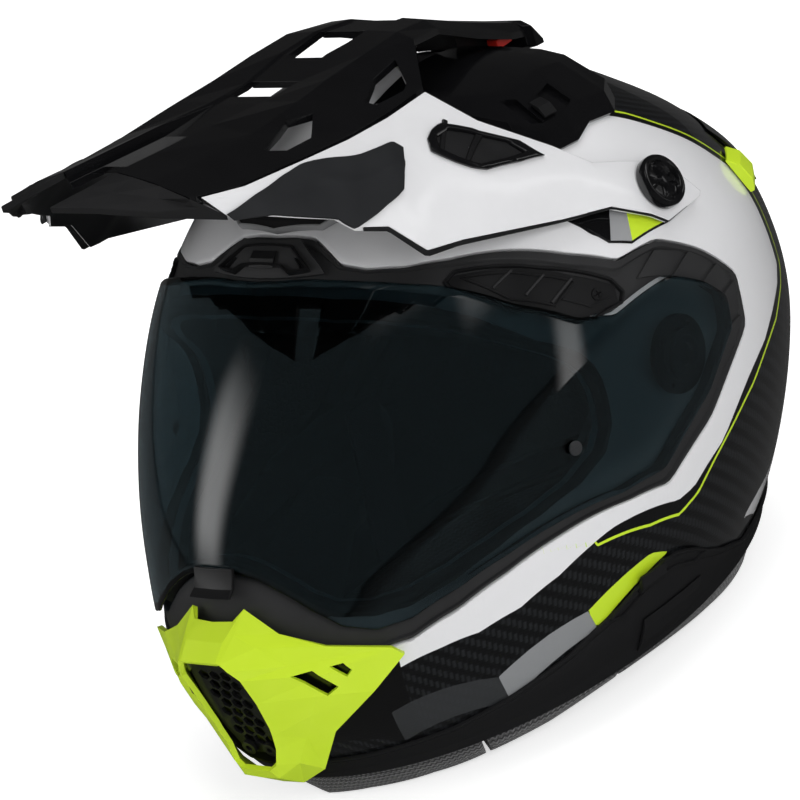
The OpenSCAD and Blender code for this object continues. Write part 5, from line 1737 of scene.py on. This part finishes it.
@dataclass
class Studio:
    """Pale floor, soft lamps, and the camera at the picture's viewing angle."""

    turn: float = 45.75
    lift: float = 21.2
    roll: float = -17.8
    away: float = 2176.0
    focal_px: float = 5022.0
    target: tuple[float, float, float] = (1.6, -26.2, 133.3)
    picture: float = 800.0
    sensor: float = 36.0
    middle: tuple[float, float, float] = (0, 0, 0.15)
    lamps: tuple[tuple[str, tuple, float, float], ...] = (  # name, place, size in metres, watts
        ("key", (1.5, -0.7, 0.9), 0.9, 14), ("fill", (-1.1, -1.4, 0.9), 1.2, 9),
        ("overhead", (0.1, 0.5, 1.7), 1.2, 11))
    dark: float = 0.02  # how bright the cards are that keep black pieces black
    fade: float = 0.9

    def camera(self) -> None:
        """Looks along a turn and a height at the target, rolled about its own line of sight."""
        a, e, r = (math.radians(v) for v in (self.turn, self.lift, self.roll))
        back = Vector((math.sin(a) * math.cos(e), -math.cos(a) * math.cos(e), math.sin(e)))
        right = Vector((math.cos(a), math.sin(a), 0))
        up = back.cross(right)
        across = math.cos(r) * right + math.sin(r) * up
        over = -math.sin(r) * right + math.cos(r) * up
        data = bpy.data.cameras.new("camera")
        data.sensor_width, data.lens = self.sensor, self.focal_px * self.sensor / self.picture
        data.clip_start, data.clip_end = 0.05, 50
        made = linked("camera", data)
        place = (Vector(self.target) + back * self.away) * MM
        made.matrix_world = Matrix.Translation(place) @ Matrix((across, over, back)).transposed().to_4x4()
        bpy.context.scene.camera = made

    def lamp(self, name: str, place: tuple, size: float, watts: float) -> None:
        """A soft square lamp that faces the helmet and that mirrors don't show.

        Args:
            name: its name.
            place: its place in metres.
            size: the length of its sides in metres.
            watts: its power.
        """
        data = bpy.data.lights.new(name, "AREA")
        data.shape, data.size, data.size_y, data.energy = "RECTANGLE", size, size, watts
        made = linked(name, data)
        made.visible_glossy = made.visible_transmission = False
        turn = (Vector(place) - Vector(self.middle)).to_track_quat("Z", "Y").to_matrix().to_4x4()
        made.matrix_world = Matrix.Translation(place) @ turn

    def world(self) -> None:
        """White where the camera, a mirror or clear plastic looks past the object; dim for the rest."""
        made = bpy.data.worlds.new("studio")
        n = Nodes(made)
        rays = n.add("LightPath").node.outputs
        past = n.add("Math", (rays["Is Glossy Ray"], rays["Is Transmission Ray"]), operation="MAXIMUM")
        seen = n.add("Math", (rays["Is Camera Ray"], past), operation="MAXIMUM")
        level = n.add("MapRange", {0: seen, 3: 0.3, 4: 1.0})
        n.add("OutputWorld", {"Surface": n.add("Background", {"Color": (1, 1, 1, 1), "Strength": level})})
        bpy.context.scene.world = made

    def floor(self) -> None:
        """A wide white sheet under the roll: white to the camera but for the shadow that it takes."""
        made = self.flat("floor", (16, 16), (0, 0, -0.0002), (0, 0, 1))
        g = Graph("MattWhitePaper")
        grain = g.add("TexNoise", {"Vector": g.millimetres(3), "Scale": 1.0, "Detail": 2.0})
        tone = g.add("Mix", {0: grain, 6: linear("#F6F6F6"), 7: linear("#FBFBFB")}, 2, data_type="RGBA")
        glow = g.add("Math", (g.add("LightPath", out="Is Camera Ray"), 0.62), operation="MULTIPLY")
        values = {"Base Color": tone, "Roughness": 0.9, "Emission Color": (1, 1, 1, 1),
                  "Emission Strength": glow}
        for key, value in values.items():
            g.plug(g.shader, key, value)
        made.data.materials.append(g.material)

    @staticmethod
    def flat(name: str, size: tuple, place: tuple, way: tuple) -> Piece:
        """A flat sheet of a size in metres, at a place, that faces a way; its corners are worked out.

        Args:
            name: its name.
            size: width and height.
            place: its middle.
            way: the way that it faces.

        Returns:
            The sheet.
        """
        turn = Vector(way).to_track_quat("Z", "Y").to_matrix()
        w, h = size[0] / 2, size[1] / 2
        corners = [Vector(place) + turn @ Vector((x, y, 0)) for x, y in ((-w, -h), (w, -h), (w, h), (-w, h))]
        mesh = bpy.data.meshes.new(name)
        mesh.from_pydata([tuple(c) for c in corners], [], [(0, 1, 2, 3)])
        layer = mesh.uv_layers.new(name="UVMap")
        layer.data.foreach_set("uv", [0, 0, 1, 0, 1, 1, 0, 1])
        return linked(name, mesh)

    def card(self, name: str, size: tuple, place: tuple, level: float, soft: float = 0.0,
             way: tuple | None = None) -> None:
        """A card that only reflections show: grey, or bright and fading towards its edges.

        Args:
            name: the card's name.
            size: width and height in metres.
            place: its middle.
            level: how bright it is in a mirror.
            soft: the share of its half width over which it fades out, or nought for an even card.
            way: the way that it faces; without one, the helmet.
        """
        made = self.flat(name, size, place, way or tuple(Vector(self.middle) - Vector(place)))
        material = bpy.data.materials.new(f"StudioCard_{name}")
        n = Nodes(material)
        shown = n.add("Emission", {"Strength": level})
        if soft:
            part = n.add("SeparateXYZ", (n.add("TexCoord", out="UV"),)).node.outputs
            fades = []
            for k in range(2):
                swing = n.add("Math", (part[k], 0.5), operation="PINGPONG")
                values = {0: swing, 2: soft / 2}
                fades.append(n.add("MapRange", values, interpolation_type="SMOOTHERSTEP"))
            both = n.add("Math", tuple(fades), operation="MULTIPLY")
            shown = n.add("MixShader", (both, n.add("BsdfTransparent"), shown))
        n.add("OutputMaterial", {"Surface": shown})
        made.data.materials.append(material)
        made.visible_camera = made.visible_diffuse = made.visible_shadow = made.visible_transmission = False

    def around(self, turn: float, lift: float, away: float) -> tuple[float, float, float]:
        """A place at a turn from the front, a height angle and a distance from the helmet's middle.

        Args:
            turn: degrees from the front.
            lift: degrees above the level.
            away: metres from the middle.

        Returns:
            The place in metres.
        """
        a, e = math.radians(turn), math.radians(lift)
        level = self.middle[2] + away * math.sin(e)
        return (away * math.sin(a) * math.cos(e), -away * math.cos(a) * math.cos(e), level)

    def build(self) -> None:
        """Sets the whole studio; the soft cards are what the visor and the peak mirror."""
        bpy.context.scene.view_settings.view_transform = "Standard"
        self.camera()
        self.world()
        self.floor()
        for lamp in self.lamps:
            self.lamp(*lamp)
        self.card("ceiling", (8, 8), (0, 0, 2.4), self.dark)
        self.card("ground", (8, 8), (0, 0, 0.0006), 0.05, way=(0, 0, 1))
        for k in range(8):
            a = math.radians(45 * k)
            x, y = 4 * math.sin(a), -4 * math.cos(a)
            self.card(f"wall_{k}", (3.4, 2.6), (x, y, 1.2), self.dark, way=(-x, -y, 0))
        self.card("strip_left", (0.72, 1.5), self.around(-46, 19, 1.6), 2.4, self.fade)
        self.card("strip_low", (0.34, 1.5), self.around(96, -2, 1.6), 1.7, self.fade)
        self.card("soft_top", (1.0, 1.4), (0.35, -0.5, 1.8), 0.8, self.fade)
        self.card("soft_rear", (0.5, 1.3), self.around(70, 48, 1.7), 0.8, self.fade)
        self.card("rim_right", (0.3, 1.6), self.around(140, 25, 1.8), 0.9, self.fade)


def main() -> None:
    """Builds the finishes, the sub-assemblies and the studio in order."""
    logging.basicConfig(level=logging.INFO, format="%(message)s")
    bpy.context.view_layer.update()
    FINISH.update(finishes())
    for part in (PaintedShell(), Eyeport(), PeakArms(), TrimDetails(), Fittings(), Lining(), NeckRoll(),
                 Studio()):
        part.build()
        LOG.info("%s done", type(part).__name__)
    bpy.context.view_layer.update()


if __name__ == "__main__":
    main()
